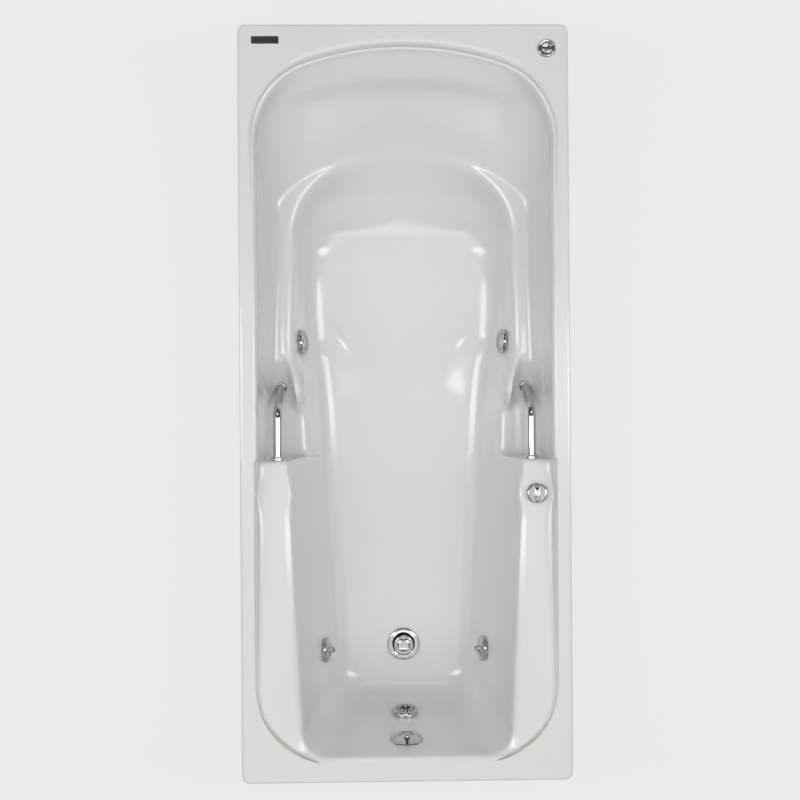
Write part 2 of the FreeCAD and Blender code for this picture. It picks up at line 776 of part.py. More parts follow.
def make_base():
    runners = []
    screws = []
    for x in (-runner_x, runner_x):
        runners.append(block(Vector(x - runner_width / 2, runner_foot_y, 0.0),
                             Vector(x + runner_width / 2, board_head_y, runner_height)))
    board = block(Vector(-board_half_width, board_foot_y, runner_height),
                  Vector(board_half_width, board_head_y, board_top))
    for x in (-runner_x, runner_x):
        for y in (board_foot_y + 40.0, from_head(814.5), board_head_y - 250.0):
            low = board_top - board_screw_length
            screw = turned([(0.0, low), (2.0, low + 4.0), (2.0, board_top - 3.0),
                            (board_screw_radius, board_top), (0.0, board_top)])
            screw.translate(Vector(x, y, 0.0))
            screws.append(screw)
    hole_tools = Part.makeCompound(screws)
    blocks = []
    for y in block_places:
        top = deck_height - floor_depth(y) - shell_thickness / 2
        blocks.append(block(Vector(-block_length / 2, y - block_width / 2, board_top),
                            Vector(block_length / 2, y + block_width / 2, top)).cut(shell))
    top = deck_height - floor_depth(foot_block_y) - shell_thickness / 2
    for x in (-1.0, 1.0):
        blocks.append(block(Vector(x * runner_x * 0.84 - 26.0, foot_block_y - 20.0, runner_height),
                            Vector(x * runner_x * 0.84 + 26.0, foot_block_y + 30.0, top)).cut(shell))
    save("base_board", board.cut(hole_tools))
    group("base_runners", [runner.cut(hole_tools) for runner in runners])
    group("support_blocks", blocks)
    group("board_screws", screws)


# ---------------------------------------------------------------- waste
drain_face = drain_spot.Base.z
flange_base = gasket_thickness + 1.0     # the floor slopes a little below the level flange


def make_drain():
    upper_gasket = seated(ring(drain_flange_radius - 6.0, drain_tube_radius + 0.2, -3.0, flange_base),
                          shell, drain_place)
    shoe_top = -shell_thickness - 3.5
    lower_gasket = seated(ring(drain_tube_radius + 11.0, drain_tube_radius + 0.2,
                               -shell_thickness + 2.0, shoe_top), shell, drain_place, outside=True)
    base = flange_base
    flange = turned([(drain_tube_bore, -drain_tube_length), (drain_tube_radius, -drain_tube_length),
                     (drain_tube_radius, base), (drain_flange_radius, base),
                     (drain_flange_radius, base + 0.8), (drain_flange_radius - 2.5, base + 2.8),
                     (drain_flange_radius - 7.0, base + 3.6), (stopper_radius + 3.0, base + 2.2),
                     (stopper_radius + 1.0, base + 0.6), (drain_tube_bore, base - 3.0)])
    guide_low = -18.0
    guide = ring(stopper_stem_radius + 3.0, stopper_stem_radius + clearance, guide_low, guide_low + 5.0)
    for angle in (0.0, 90.0):
        rib = block(Vector(-drain_tube_bore - 0.5, -1.25, guide_low), Vector(drain_tube_bore + 0.5, 1.25,
                                                                          guide_low + 5.0))
        rib.rotate(Vector(0.0, 0.0, 0.0), Z_AXIS, angle)
        guide = guide.fuse(rib.cut(disc(stopper_stem_radius + clearance, guide_low, guide_low + 5.0)))
    flange = flange.fuse(guide)
    group("drain_gaskets", [upper_gasket, lower_gasket])
    save("drain_flange", put(flange, drain_place))
    shoe_low = waste_axis_height - drain_face - waste_pipe_radius - 6.0
    cup_bore = drain_tube_radius + socket_clearance
    shoe = turned([(0.0, shoe_low), (cup_bore + 3.0, shoe_low), (cup_bore + 3.0, shoe_top - 5.0),
                   (drain_tube_radius + 12.0, shoe_top - 5.0), (drain_tube_radius + 12.0, shoe_top),
                   (cup_bore, shoe_top), (cup_bore, shoe_low + 3.0), (0.0, shoe_low + 3.0)])
    shoe = put(shoe, drain_place)
    socket_start = Vector(0.0, drain_y - cup_bore + 2.0, waste_axis_height)
    socket_end = Vector(0.0, drain_y - cup_bore - 26.0, waste_axis_height)
    socket = bar(socket_start, socket_end, waste_pipe_radius + socket_clearance + wall_of_fitting)
    pipe_start = Vector(0.0, drain_y - cup_bore - 5.0, waste_axis_height)
    cup_space = put(disc(cup_bore, shoe_low + 3.0, shoe_top), drain_place)
    shoe = shoe.fuse(socket.cut(cup_space))
    shoe = shoe.cut(bar(socket_start, pipe_start, waste_pipe_bore))
    shoe = shoe.cut(bar(pipe_start, socket_end, waste_pipe_radius + socket_clearance))
    save("drain_shoe", shoe)
    return pipe_start


def make_waste(pipe_start):
    bore = waste_pipe_radius + socket_clearance
    body = bore + wall_of_fitting
    pipe_end = Vector(0.0, overflow_y + body - 2.0, waste_axis_height)
    pipe = bar(pipe_start, pipe_end, waste_pipe_radius).cut(bar(pipe_start, pipe_end, waste_pipe_bore))
    save("waste_pipe", pipe)
    low = waste_axis_height - body - 12.0
    high = waste_axis_height + body + 16.0
    tail_top = waste_axis_height - body
    over_bottom = waste_axis_height + body
    branch_end = Vector(0.0, overflow_y + body + 22.0, waste_axis_height)
    middle = Vector(0.0, overflow_y, waste_axis_height)
    down = FreeCAD.Placement(Vector(0.0, overflow_y, 0.0), upright)
    tail_end_radius = waste_pipe_radius - tail_end_step
    tee = put(disc(body, low, high), down).fuse(bar(middle, branch_end, body))
    tee = tee.cut(put(disc(waste_pipe_bore - 0.8, low, high), down))
    tee = tee.cut(put(disc(tail_end_radius + socket_clearance, low, tail_top), down))
    tee = tee.cut(put(disc(overflow_pipe_radius + socket_clearance, over_bottom, high), down))
    tee = tee.cut(bar(middle, branch_end, waste_pipe_bore - 0.8)).cut(bar(pipe_end, branch_end, bore))
    save("waste_tee", tee)
    step = low - clearance
    tail = ring(waste_pipe_radius, waste_pipe_bore, tail_clear, step)
    tail = tail.fuse(ring(tail_end_radius, waste_pipe_bore, step, tail_top))
    save("tail_pipe", put(tail, down))
    return over_bottom, down


def make_overflow(over_bottom, down):
    face = overflow_spot.Base
    outer_y = face.y - shell_thickness
    flat_y = outer_y - 9.0               # the level front of the elbow, behind the leaning wall
    elbow_radius = overflow_hole_radius + 10.0
    socket = overflow_pipe_radius + socket_clearance
    joint_height = face.z - elbow_radius - 8.0
    middle = Vector(0.0, overflow_y, face.z)
    front = Vector(0.0, flat_y, face.z)
    elbow = bar(front, Vector(0.0, flat_y - 5.0, face.z), elbow_radius)
    elbow = elbow.fuse(bar(front, middle, overflow_hole_radius))
    elbow = elbow.fuse(put(disc(socket + wall_of_fitting, joint_height - 20.0, face.z), down))
    elbow = elbow.fuse(Part.makeSphere(overflow_hole_radius, middle))
    inner = bar(front, middle, overflow_hole_radius - wall_of_fitting)
    inner = inner.fuse(Part.makeSphere(overflow_hole_radius - wall_of_fitting, middle))
    inner = inner.fuse(put(disc(overflow_pipe_bore, joint_height - 20.0, face.z), down))
    inner = inner.fuse(put(disc(socket, joint_height - 20.0, joint_height), down))
    elbow = elbow.cut(inner)
    pipe = put(ring(overflow_pipe_radius, overflow_pipe_bore, over_bottom, joint_height), down)
    wedge = bar(Vector(0.0, outer_y + 12.0, face.z), front, elbow_radius)
    wedge = wedge.cut(bar(Vector(0.0, outer_y + 12.0, face.z), front, overflow_hole_radius - 2.0))
    wedge = min(wedge.cut(shell).Solids, key=lambda solid: solid.CenterOfMass.y)
    radius = overflow_plate_radius
    plate = turned([(0.0, 7.0), (radius * 0.55, 6.2), (radius - 4.0, 3.2), (radius - 1.6, 0.5),
                    (radius, 0.5), (radius, 2.6), (radius - 3.0, 5.2), (radius * 0.55, 8.4), (0.0, 9.2)])
    slot = block(Vector(-4.0, -16.0, -1.0), Vector(4.0, 14.0, 20.0))
    plate = plate.cut(slot)
    pin_depth = Vector(0.0, 0.0, -lever_pivot_back)
    for side in (-1.0, 1.0):
        near = min(side * 5.3, side * ear_end)
        ear = block(Vector(near, -6.0, -lever_pivot_back - 4.0), Vector(near + ear_end - 5.3, 6.0, 7.0))
        plate = plate.fuse(ear)
    plate = plate.cut(bar(pin_depth - Vector(9.0, 0.0, 0.0), pin_depth + Vector(9.0, 0.0, 0.0),
                          lever_pin_radius + running_clearance))
    screws = []
    elbow_front = -(shell_thickness + 9.0)
    for x in (-plate_screw_x, plate_screw_x):
        head = turned([(0.0, 5.6), (4.2, 5.6), (4.2, 7.6), (2.4, 9.0), (0.0, 9.3)])
        screw = disc(plate_screw_radius, elbow_front - 4.0, 6.0).fuse(head)
        screw.translate(Vector(x, 0.0, 0.0))
        screws.append(screw)
    tools = Part.makeCompound(screws)
    placed_tools = put(tools, overflow_spot)
    save("overflow_plate", put(plate.cut(tools), overflow_spot))
    group("overflow_screws", [put(screw, overflow_spot) for screw in screws])
    save("overflow_elbow", elbow.cut(placed_tools))
    save("overflow_gasket", wedge.cut(placed_tools))
    save("overflow_pipe", pipe)


def make_linkage():
    """Lever, link rod, rocker and stopper, drawn with the stopper lifted."""
    pivot = lever_pivot
    across = Vector(1.0, 0.0, 0.0)
    pin = pivot + Vector(0.0, -lever_arm * math.cos(half_throw), -lever_arm * math.sin(half_throw))
    knee = pivot + Vector(0.0, math.cos(half_throw), math.sin(half_throw)) * (lever_pivot_back + 13.0)
    tip = knee + Vector(0.0, 5.0, 38.0)
    lever = bar(pivot - across * 5.0, pivot + across * 5.0, 4.0)
    lever = lever.fuse(bar(pivot - across * ear_end, pivot + across * ear_end, lever_pin_radius))
    lever = lever.fuse(bar(pivot, pin, 2.0)).fuse(bar(pivot, knee, 3.0)).fuse(Part.makeSphere(4.4, knee))
    lever = lever.fuse(Part.makeCone(4.4, 5.2, (tip - knee).Length, knee, tip - knee))
    lever = lever.fuse(Part.makeSphere(5.2, tip))
    lever = lever.fuse(bar(pin - across * 4.0, pin + across * 4.0, lever_pin_radius))
    save("trip_lever", lever)
    slot_height = lever_pin_radius + clearance
    eye = block(pin + Vector(-1.2, -5.0, -4.5), pin + Vector(1.2, 5.0, 4.5))
    eye = eye.cut(block(pin + Vector(-2.0, -3.2, -slot_height), pin + Vector(2.0, 3.2, slot_height)))
    beside = Vector(3.4, 0.0, 0.0)
    eye.translate(beside)
    rocker_top = waste_axis_height + 3.0
    ball = Vector(0.0, overflow_y, rocker_top + clearance + link_rod_radius)
    knee_low = Vector(0.0, overflow_y, overflow_spot.Base.z - 70.0)
    rod = bar(pin + beside - Vector(0.0, 0.0, 3.5), knee_low, link_rod_radius)
    rod = rod.fuse(Part.makeSphere(link_rod_radius, knee_low)).fuse(bar(knee_low, ball, link_rod_radius))
    save("link_rod", eye.fuse(rod).fuse(Part.makeSphere(link_rod_radius, ball)))
    tip_height = rocker_top + clearance + stopper_stem_radius - drain_face
    seat = flange_base + 0.8 + stopper_lift
    stopper = turned([(0.0, tip_height), (stopper_stem_radius, tip_height), (stopper_stem_radius, seat - 1.0),
                      (stopper_radius - 5.0, seat), (stopper_radius - 1.0, seat + 0.2),
                      (stopper_radius, seat + 1.2), (stopper_radius, seat + 3.4),
                      (stopper_radius - 2.5, seat + 4.8), (stopper_radius - 5.5, seat + 5.0),
                      (stopper_radius - 9.0, seat + 7.6), (stopper_radius - 16.0, seat + 9.6),
                      (0.0, seat + 10.2)])
    stopper = stopper.fuse(Part.makeSphere(stopper_stem_radius, Vector(0.0, 0.0, tip_height)))
    save("drain_stopper", put(stopper, drain_place))
    arm_end = drain_y - rocker_y + 5.0
    rocker = block(Vector(-3.0, rocker_y - arm_end, rocker_top - 3.0),
                   Vector(3.0, rocker_y + arm_end, rocker_top))
    fulcrum = Vector(0.0, rocker_y, rocker_pivot_height)
    rocker = rocker.fuse(bar(fulcrum - across * 3.0, fulcrum + across * 3.0, 4.0))
    web = block(fulcrum - Vector(2.0, 4.0, 0.0), Vector(2.0, rocker_y + 4.0, rocker_top))
    save("rocker_arm", rocker.fuse(web))


# ---------------------------------------------------------------- suction fitting
def make_suction():
    spot = suction_spot
    back = -shell_thickness
    face = suction_face_radius
    tube = suction_tube_radius
    back_gasket = ring(face - 4.5, tube + 0.2, back + 4.0, back - 4.0)
    gaskets = [seated(ring(face - 3.0, tube + 0.2, -4.0, gasket_thickness), shell, spot),
               seated(back_gasket, shell, spot, outside=True)]
    front = gasket_thickness + ring_thickness
    wall_ring = put(ring(face, tube + 0.05, gasket_thickness, front), spot)
    chamber = suction_chamber_radius
    end = -suction_chamber_end
    shoulder = back - 4.0
    body = turned([(0.0, end), (chamber, end), (chamber, shoulder - 4.0), (face, shoulder - 4.0),
                   (face, shoulder), (tube, shoulder), (tube, front), (tube - 3.0, front),
                   (tube - 3.0, shoulder - 4.0), (chamber - 3.0, shoulder - 4.0), (chamber - 3.0, end + 3.0),
                   (0.0, end + 3.0)])
    boss = disc(5.0, -2.0, front)
    for angle in (0.0, 90.0):
        rib = block(Vector(-tube + 2.0, -1.5, -2.0), Vector(tube - 2.0, 1.5, 2.0))
        rib.rotate(Vector(0.0, 0.0, 0.0), Z_AXIS, angle)
        boss = boss.fuse(rib)
    centre = spot.multVec(Vector(0.0, 0.0, (shoulder + end) / 2 - 1.5))
    mouth = centre + Vector(chamber + 26.0, 0.0, 0.0)
    seat = centre + Vector(chamber + 2.0, 0.0, 0.0)
    socket = suction_pipe_radius + socket_clearance
    inside = put(disc(chamber - 3.0, end + 3.0, shoulder - 4.0), spot)
    outlet = bar(centre, mouth, socket + wall_of_fitting - 1.0).cut(inside)
    body = put(body.fuse(boss), spot).fuse(outlet)
    body = body.cut(bar(centre, mouth, suction_pipe_bore)).cut(bar(seat, mouth, socket))
    body = body.cut(put(ring(face - 4.0, tube, shoulder, back + 4.0), spot))
    cover = turned([(0.0, front + 9.0), (face * 0.55, front + 7.6), (face - 3.0, front + 3.0),
                    (face - 2.2, front + clearance), (face + 1.0, front + clearance),
                    (face + 0.6, front + 3.4), (face - 2.5, front + 7.0), (face * 0.55, front + 11.0),
                    (0.0, front + 12.0)])
    for count, radius in ((8, face * 0.36), (14, face * 0.66)):
        for k in range(count):
            angle = 2 * math.pi * k / count
            hole = disc(2.6, front + 1.0, front + 20.0)
            hole.translate(Vector(radius * math.cos(angle), radius * math.sin(angle), 0.0))
            cover = cover.cut(hole)
    post = disc(5.0, front, front + 9.5)
    screw = turned([(0.0, -1.0), (1.9, -1.0), (1.9, front + 10.6), (4.0, front + 11.6), (3.6, front + 13.4),
                    (0.0, front + 14.0)])
    save("suction_body", body.cut(put(screw, spot)))
    save("suction_cover", put(cover.fuse(post).cut(screw), spot))
    save("suction_screw", put(screw, spot))
    return seat, gaskets, wall_ring


# ---------------------------------------------------------------- jets
def jet_body():
    """Body, turned in its own frame, and the same without its hollow."""
    back = -shell_thickness - 4.0
    chamber = jet_chamber_radius
    tube = jet_tube_radius
    end = -jet_chamber_end
    front = gasket_thickness + ring_thickness
    outside = [(0.0, end), (chamber, end), (chamber, back - 4.0), (jet_face_radius, back - 4.0),
               (jet_face_radius, back), (tube, back), (tube, front)]
    hollow = [(tube - 3.0, front), (tube - 3.0, back - 4.0), (chamber - 3.0, back - 4.0),
              (chamber - 3.0, end + 3.0), (0.0, end + 3.0)]
    return turned(outside + hollow), turned(outside + [(0.0, front)])


def jet_trim(rotor):
    """Chrome face that turns on the body: a socket for the ball, or the seat of the rotor."""
    front = gasket_thickness + ring_thickness + clearance
    rim = jet_face_radius
    bore = jet_tube_radius - 3.0 - clearance
    inner = jet_ball_radius + clearance
    outer = [(bore, front), (bore, -12.0), (bore - 2.0, -12.0), (bore - 2.0, front)]
    if rotor:
        face = [(bore - 2.0, front + 1.0), (rim - 8.0, front + 5.0), (rim - 3.0, front + 4.2), (rim, front)]
        return turned(outer + face)
    neck = jet_ball_radius * jet_neck_share
    seat_height = front + 1.0
    rise = math.sqrt(inner ** 2 - neck ** 2)
    trim = turned([(bore, front), (bore, -12.0), (bore - 2.0, -12.0), (neck + 5.0, front - 8.0),
                   (neck, front - 8.0), (neck, seat_height + rise), (neck + 3.0, seat_height + rise),
                   (rim - 8.0, front + 5.0), (rim - 3.0, front + 4.2), (rim, front)])
    ball_space = Part.makeSphere(inner, Vector(0.0, 0.0, seat_height))
    return trim.cut(ball_space)


def jet_ball():
    """Tilting nozzle with a straight bore."""
    height = gasket_thickness + ring_thickness + clearance + 1.0
    neck = jet_ball_radius * jet_neck_share
    rise = math.sqrt((jet_ball_radius + clearance) ** 2 - neck ** 2)
    tilt = math.radians(jet_tilt)
    snout_radius = (neck - 2 * clearance - rise * math.tan(tilt)) * math.cos(tilt)
    snout_end = height + jet_ball_radius + 4.4
    ball = Part.makeSphere(jet_ball_radius, Vector(0.0, 0.0, height))
    snout = turned([(0.0, height), (snout_radius, height), (snout_radius, snout_end - 1.4),
                    (snout_radius - 1.4, snout_end), (0.0, snout_end)])
    ball = ball.fuse(snout).cut(disc(jet_bore_radius, height - 20.0, height + 30.0))
    return ball.cut(disc(20.0, height - 20.0, height - 9.0))


def jet_rotor():
    """Spinning face with three openings."""
    front = gasket_thickness + ring_thickness + clearance
    radius = jet_tube_radius - 5.0 - 2 * clearance
    rotor = turned([(0.0, front - 3.0), (radius, front - 3.0), (radius, front + 0.5),
                    (radius - 4.0, front + 3.6), (6.0, front + 5.2), (0.0, front + 5.4)])
    for k in range(3):
        hole = disc(4.6, front - 5.0, front + 10.0)
        hole.translate(Vector(radius * 0.58, 0.0, 0.0))
        hole.rotate(Vector(0.0, 0.0, 0.0), Z_AXIS, 120.0 * k + 30.0)
        rotor = rotor.cut(hole)
    spindle = disc(3.0, front - 12.0, front - 3.0)
    return rotor.fuse(spindle)


def jet_carrier():
    """Hub on three ribs inside the rotor's trim: the bearing of its spindle."""
    carrier = ring(8.0, 3.0 + clearance, -9.0, gasket_thickness + ring_thickness - 3.5)
    for angle in (30.0, 150.0, 270.0):
        rib = block(Vector(7.0, -1.2, -9.0), Vector(jet_tube_radius - 4.5, 1.2, -5.0))
        rib.rotate(Vector(0.0, 0.0, 0.0), Z_AXIS, angle)
        carrier = carrier.fuse(rib)
    return carrier


def make_jets():
    """Trims, rotors and nozzles are saved; the clamped pieces are returned."""
    body, filled = jet_body()
    front = gasket_thickness + ring_thickness
    gasket = ring(jet_face_radius - 3.0, jet_tube_radius + 0.2, -3.0, gasket_thickness)
    back_gasket = ring(jet_face_radius - 1.0, jet_tube_radius + 0.2, 3.0 - shell_thickness,
                       -shell_thickness - 4.0)
    wall_ring = ring(jet_face_radius - 1.0, jet_tube_radius + 0.05, gasket_thickness, front)
    gaskets = []
    for name, spot in zip(jet_names, jet_spots):
        gaskets.append(seated(gasket, shell, spot))
        gaskets.append(seated(back_gasket, shell, spot, outside=True))
        if name.startswith("upper"):
            save("jet_trim_" + name, put(jet_trim(True).fuse(jet_carrier()), spot))
            save("jet_rotor_" + name, put(jet_rotor(), spot))
        else:
            save("jet_trim_" + name, put(jet_trim(False), spot))
            save("jet_nozzle_" + name, put(jet_ball(), spot))
    rings = [put(wall_ring, spot) for spot in jet_spots]
    bodies = [put(body, spot) for spot in jet_spots]
    return gaskets, rings, bodies, [put(filled, spot) for spot in jet_spots]


# ---------------------------------------------------------------- pump
def along_x(shape, x):
    """Turn a shape made about Z so that it lies along +X at the pump's axis."""
    turn = FreeCAD.Rotation(Z_AXIS, Vector(1.0, 0.0, 0.0))
    return put(shape, FreeCAD.Placement(Vector(x, pump_y, pump_axis_height), turn))


def make_pump():
    length = motor_head_end - motor_foot_end
    core = motor_radius - fin_height
    bearing = shaft_radius + clearance
    motor = turned([(bearing, 0.0), (core - 6.0, 0.0), (core + 2.0, 6.0), (core + 2.0, 26.0),
                    (core, 28.0), (core, length - 22.0), (motor_radius, length - 20.0),
                    (motor_radius, length), (bearing, length)])
    for k in range(motor_fins):
        fin = block(Vector(core - 1.0, -1.2, 30.0), Vector(motor_radius, 1.2, length - 20.5))
        fin.rotate(Vector(0.0, 0.0, 0.0), Z_AXIS, 360.0 * k / motor_fins)
        motor = motor.fuse(fin)
    motor = along_x(motor, motor_foot_end)
    box = block(Vector(motor_foot_end + 70.0, pump_y - 34.0, pump_axis_height + core - 14.0),
                Vector(motor_foot_end + 160.0, pump_y + 34.0, pump_axis_height + core + 20.0))
    gland = bar(Vector(motor_foot_end + 70.0, pump_y, pump_axis_height + core + 9.0),
                Vector(motor_foot_end + 52.0, pump_y, pump_axis_height + core + 9.0), 8.0)
    save("pump_motor", motor)
    save("pump_switch_box", box.fuse(gland).cut(motor))
    cover_bore = core + 2.0
    cover = turned([(0.0, -32.0), (motor_radius - 8.0, -32.0), (motor_radius - 2.0, -26.0),
                    (motor_radius - 2.0, 16.0), (cover_bore, 16.0), (cover_bore, -25.0),
                    (motor_radius - 9.0, -30.0), (0.0, -30.0)])
    for radius, count in ((18.0, 8), (32.0, 14), (45.0, 20)):
        for k in range(count):
            angle = 2 * math.pi * k / count
            hole = disc(3.2, -40.0, -20.0)
            hole.translate(Vector(radius * math.cos(angle), radius * math.sin(angle), 0.0))
            cover = cover.cut(hole)
    save("pump_fan_cover", along_x(cover, motor_foot_end))
    cavity = volute_radius - volute_wall
    neck_end = volute_width + 28.0
    outer = turned([(0.0, 0.0), (volute_radius, 0.0), (volute_radius, volute_width - 6.0),
                    (volute_radius - 8.0, volute_width), (pump_port_radius + volute_wall, volute_width),
                    (pump_port_radius + volute_wall, neck_end), (0.0, neck_end)])
    inner = turned([(0.0, volute_wall), (cavity, volute_wall), (cavity, volute_width - volute_wall),
                    (pump_port_radius, volute_width - volute_wall),
                    (pump_port_radius, neck_end + 1.0), (0.0, neck_end + 1.0)])
    outlet = Vector(motor_head_end + volute_width / 2, pump_y, pump_axis_height)
    outlet_top = Vector(outlet.x, pump_y, pressure_pipe_height - pressure_pipe_radius - 8.0)
    port_bore = pressure_pipe_bore - 1.0
    volute = along_x(outer, motor_head_end).fuse(bar(outlet, outlet_top, pump_port_radius))
    volute = volute.cut(along_x(inner, motor_head_end)).cut(bar(outlet, outlet_top, port_bore))
    volute = volute.cut(along_x(disc(shaft_radius + 1.0, -1.0, 10.0), motor_head_end))
    save("pump_volute", volute)
    wheel = disc(impeller_radius, 10.0, 13.0).fuse(disc(shaft_radius + 5.0, 8.0, 26.0))
    for k in range(impeller_vanes):
        vane = block(Vector(8.0, -1.5, 12.0), Vector(impeller_radius - 2.0, 1.5, 30.0))
        vane.rotate(Vector(8.0, 0.0, 0.0), Z_AXIS, 35.0)
        vane.rotate(Vector(0.0, 0.0, 0.0), Z_AXIS, 360.0 * k / impeller_vanes)
        wheel = wheel.fuse(vane.common(disc(impeller_radius, 0.0, 40.0)))
    shaft = disc(shaft_radius, motor_foot_end - motor_head_end - 12.0, 12.0)
    fan = disc(16.0, motor_foot_end - motor_head_end - 10.0, motor_foot_end - motor_head_end - 2.0)
    for k in range(7):
        blade = block(Vector(14.0, -1.0, motor_foot_end - motor_head_end - 20.0),
                      Vector(motor_radius - 10.0, 1.0, motor_foot_end - motor_head_end - 3.0))
        blade.rotate(Vector(0.0, 0.0, 0.0), Z_AXIS, 360.0 * k / 7)
        fan = fan.fuse(blade)
    save("pump_impeller", along_x(wheel.fuse(shaft).fuse(fan), motor_head_end))
    saddle = block(Vector(motor_foot_end + 30.0, pump_y - 52.0, board_top),
                   Vector(motor_head_end - 24.0, pump_y + 52.0, board_top + 5.0))
    for x in (motor_foot_end + 40.0, motor_head_end - 40.0):
        rib = block(Vector(x, pump_y - 40.0, board_top),
                    Vector(x + 6.0, pump_y + 40.0, pump_axis_height - 20.0))
        saddle = saddle.fuse(rib)
    motor_space = along_x(disc(motor_radius + 0.05, 20.0, length), motor_foot_end)
    save("pump_bracket", saddle.cut(motor_space))
    inlet_x = motor_head_end + neck_end
    neck = pump_port_radius + volute_wall
    outlet_nut = bar(outlet_top + Vector(0.0, 0.0, -14.0), outlet_top, pump_port_radius + 8.0)
    inlet_nut = along_x(ring(neck + 8.0, neck + 0.05, -16.0, 0.0), inlet_x)
    outlet_nut = outlet_nut.cut(bar(outlet, outlet_top, pump_port_radius + 0.05))
    group("pump_unions", [outlet_nut, inlet_nut])
    return outlet_top, Vector(inlet_x, pump_y, pump_axis_height)


# ---------------------------------------------------------------- pipes
def make_suction_pipe(inlet, seat):
    turn = suction_pipe_radius * 1.7
    route = [inlet, Vector(suction_pipe_x, inlet.y, inlet.z), Vector(suction_pipe_x, seat.y, inlet.z),
             Vector(suction_pipe_x, seat.y, seat.z), seat]
    pipe = pipe_run(route, suction_pipe_radius, turn)
    save("suction_pipe", pipe.cut(pipe_bore(route, suction_pipe_bore, turn)))


def jet_chamber_middle(spot):
    return spot.multVec(Vector(0.0, 0.0, -jet_chamber_end / 2 - 8.0))


def without(shape, tools):
    """The largest solid left after all the tools are cut away."""
    for tool in tools:
        shape = shape.cut(tool)
    return max(shape.Solids, key=lambda solid: solid.Volume)


def make_pressure_pipes(outlet_top, filled):
    """Manifolds to the jets of each side; returns the bores of their branches."""
    turn = pressure_pipe_radius * 1.7
    tee = Vector(outlet_top.x, pump_y, pressure_pipe_height)
    branch_radius = jet_tube_radius - 6.0
    ports = []
    for side_name, side in (("left", -1.0), ("right", 1.0)):
        start = tee + Vector(side * 30.0, 0.0, 0.0)
        corner = Vector(side * pressure_pipe_x, pump_y, pressure_pipe_height)
        end = Vector(side * pressure_pipe_x, jet_lower[0] - 34.0, pressure_pipe_height)
        branches = []
        holes = []
        for name, spot in zip(jet_names, jet_spots):
            if name.endswith(side_name):
                middle = jet_chamber_middle(spot)
                middle.z = pressure_pipe_height
                branch = Vector(side * pressure_pipe_x, middle.y, pressure_pipe_height)
                branches.append((branch, middle, branch_radius))
                holes.append((branch, middle, branch_radius - 3.0))
        pipe = pipe_run([start, corner, end], pressure_pipe_radius, turn, branches)
        inside_end = end + Vector(0.0, 3.0, 0.0)
        pipe = pipe.cut(pipe_bore([start, corner, inside_end], pressure_pipe_bore, turn, holes))
        save("pressure_pipe_" + side_name, without(pipe, filled))
        ports += [bar(*hole) for hole in holes]
    socket = pressure_pipe_radius + wall_of_fitting + 1.0
    across = Vector(46.0, 0.0, 0.0)
    body = bar(tee - across, tee + across, socket).fuse(bar(outlet_top, tee, socket))
    body = body.cut(bar(outlet_top, tee, pressure_pipe_bore - 1.0))
    body = body.cut(bar(tee - across, tee + across, pressure_pipe_bore))
    for side in (-1.0, 1.0):
        body = body.cut(bar(tee + Vector(side * 30.0, 0.0, 0.0), tee + across * side,
                            pressure_pipe_radius + socket_clearance))
    save("pressure_tee", body)
    return ports


def make_air_pipes(filled):
    """Air lines to the jets and the air control; returns the bores of their branches."""
    turn = air_pipe_radius * 2.0
    branch_radius = air_pipe_radius - 2.5
    valve = knob_spot.multVec(Vector(0.0, 0.0, 3.0 - air_body_length))
    ports = []
    for side_name, side in (("left", -1.0), ("right", 1.0)):
        start = Vector(side * air_cross_half, air_cross_y, air_pipe_height)
        corner = Vector(side * air_pipe_x, air_cross_y, air_pipe_height)
        end = Vector(side * air_pipe_x, jet_lower[0] - 20.0, air_pipe_height)
        drops = [jet_chamber_middle(spot) for name, spot in zip(jet_names, jet_spots)
                 if name.endswith(side_name)]
        if side > 0:
            drops.append(valve)
        pipe = pipe_run([start, corner, end], air_pipe_radius, turn)
        bore = pipe_bore([start, corner, end + Vector(0.0, 3.0, 0.0)], air_pipe_bore, turn)
        for drop in drops:
            knee = Vector(drop.x, drop.y, air_pipe_height)
            run = Vector(side * air_pipe_x, drop.y, air_pipe_height)
            pipe = pipe.fuse(bar(knee, run, branch_radius)).fuse(Part.makeSphere(branch_radius, knee))
            pipe = pipe.fuse(bar(knee, drop, branch_radius))
            bore = bore.fuse(bar(knee, run, branch_radius - 2.0)).fuse(bar(knee, drop, branch_radius - 2.0))
            ports.append(bar(knee, drop, branch_radius - 2.0))
        save("air_pipe_" + side_name, without(pipe.cut(bore), filled))
    across = Vector(air_cross_half, 0.0, 0.0)
    lap = Vector(air_cross_half + 20.0, 0.0, 0.0)
    middle = Vector(0.0, air_cross_y, air_pipe_height)
    link = bar(middle - lap, middle + lap, air_pipe_radius + 2.5)
    link = link.cut(bar(middle - lap, middle + lap, air_pipe_bore))
    for side in (-1.0, 1.0):
        link = link.cut(bar(middle + across * side, middle + lap * side, air_pipe_radius + socket_clearance))
    save("air_pipe_cross", link)
    return ports


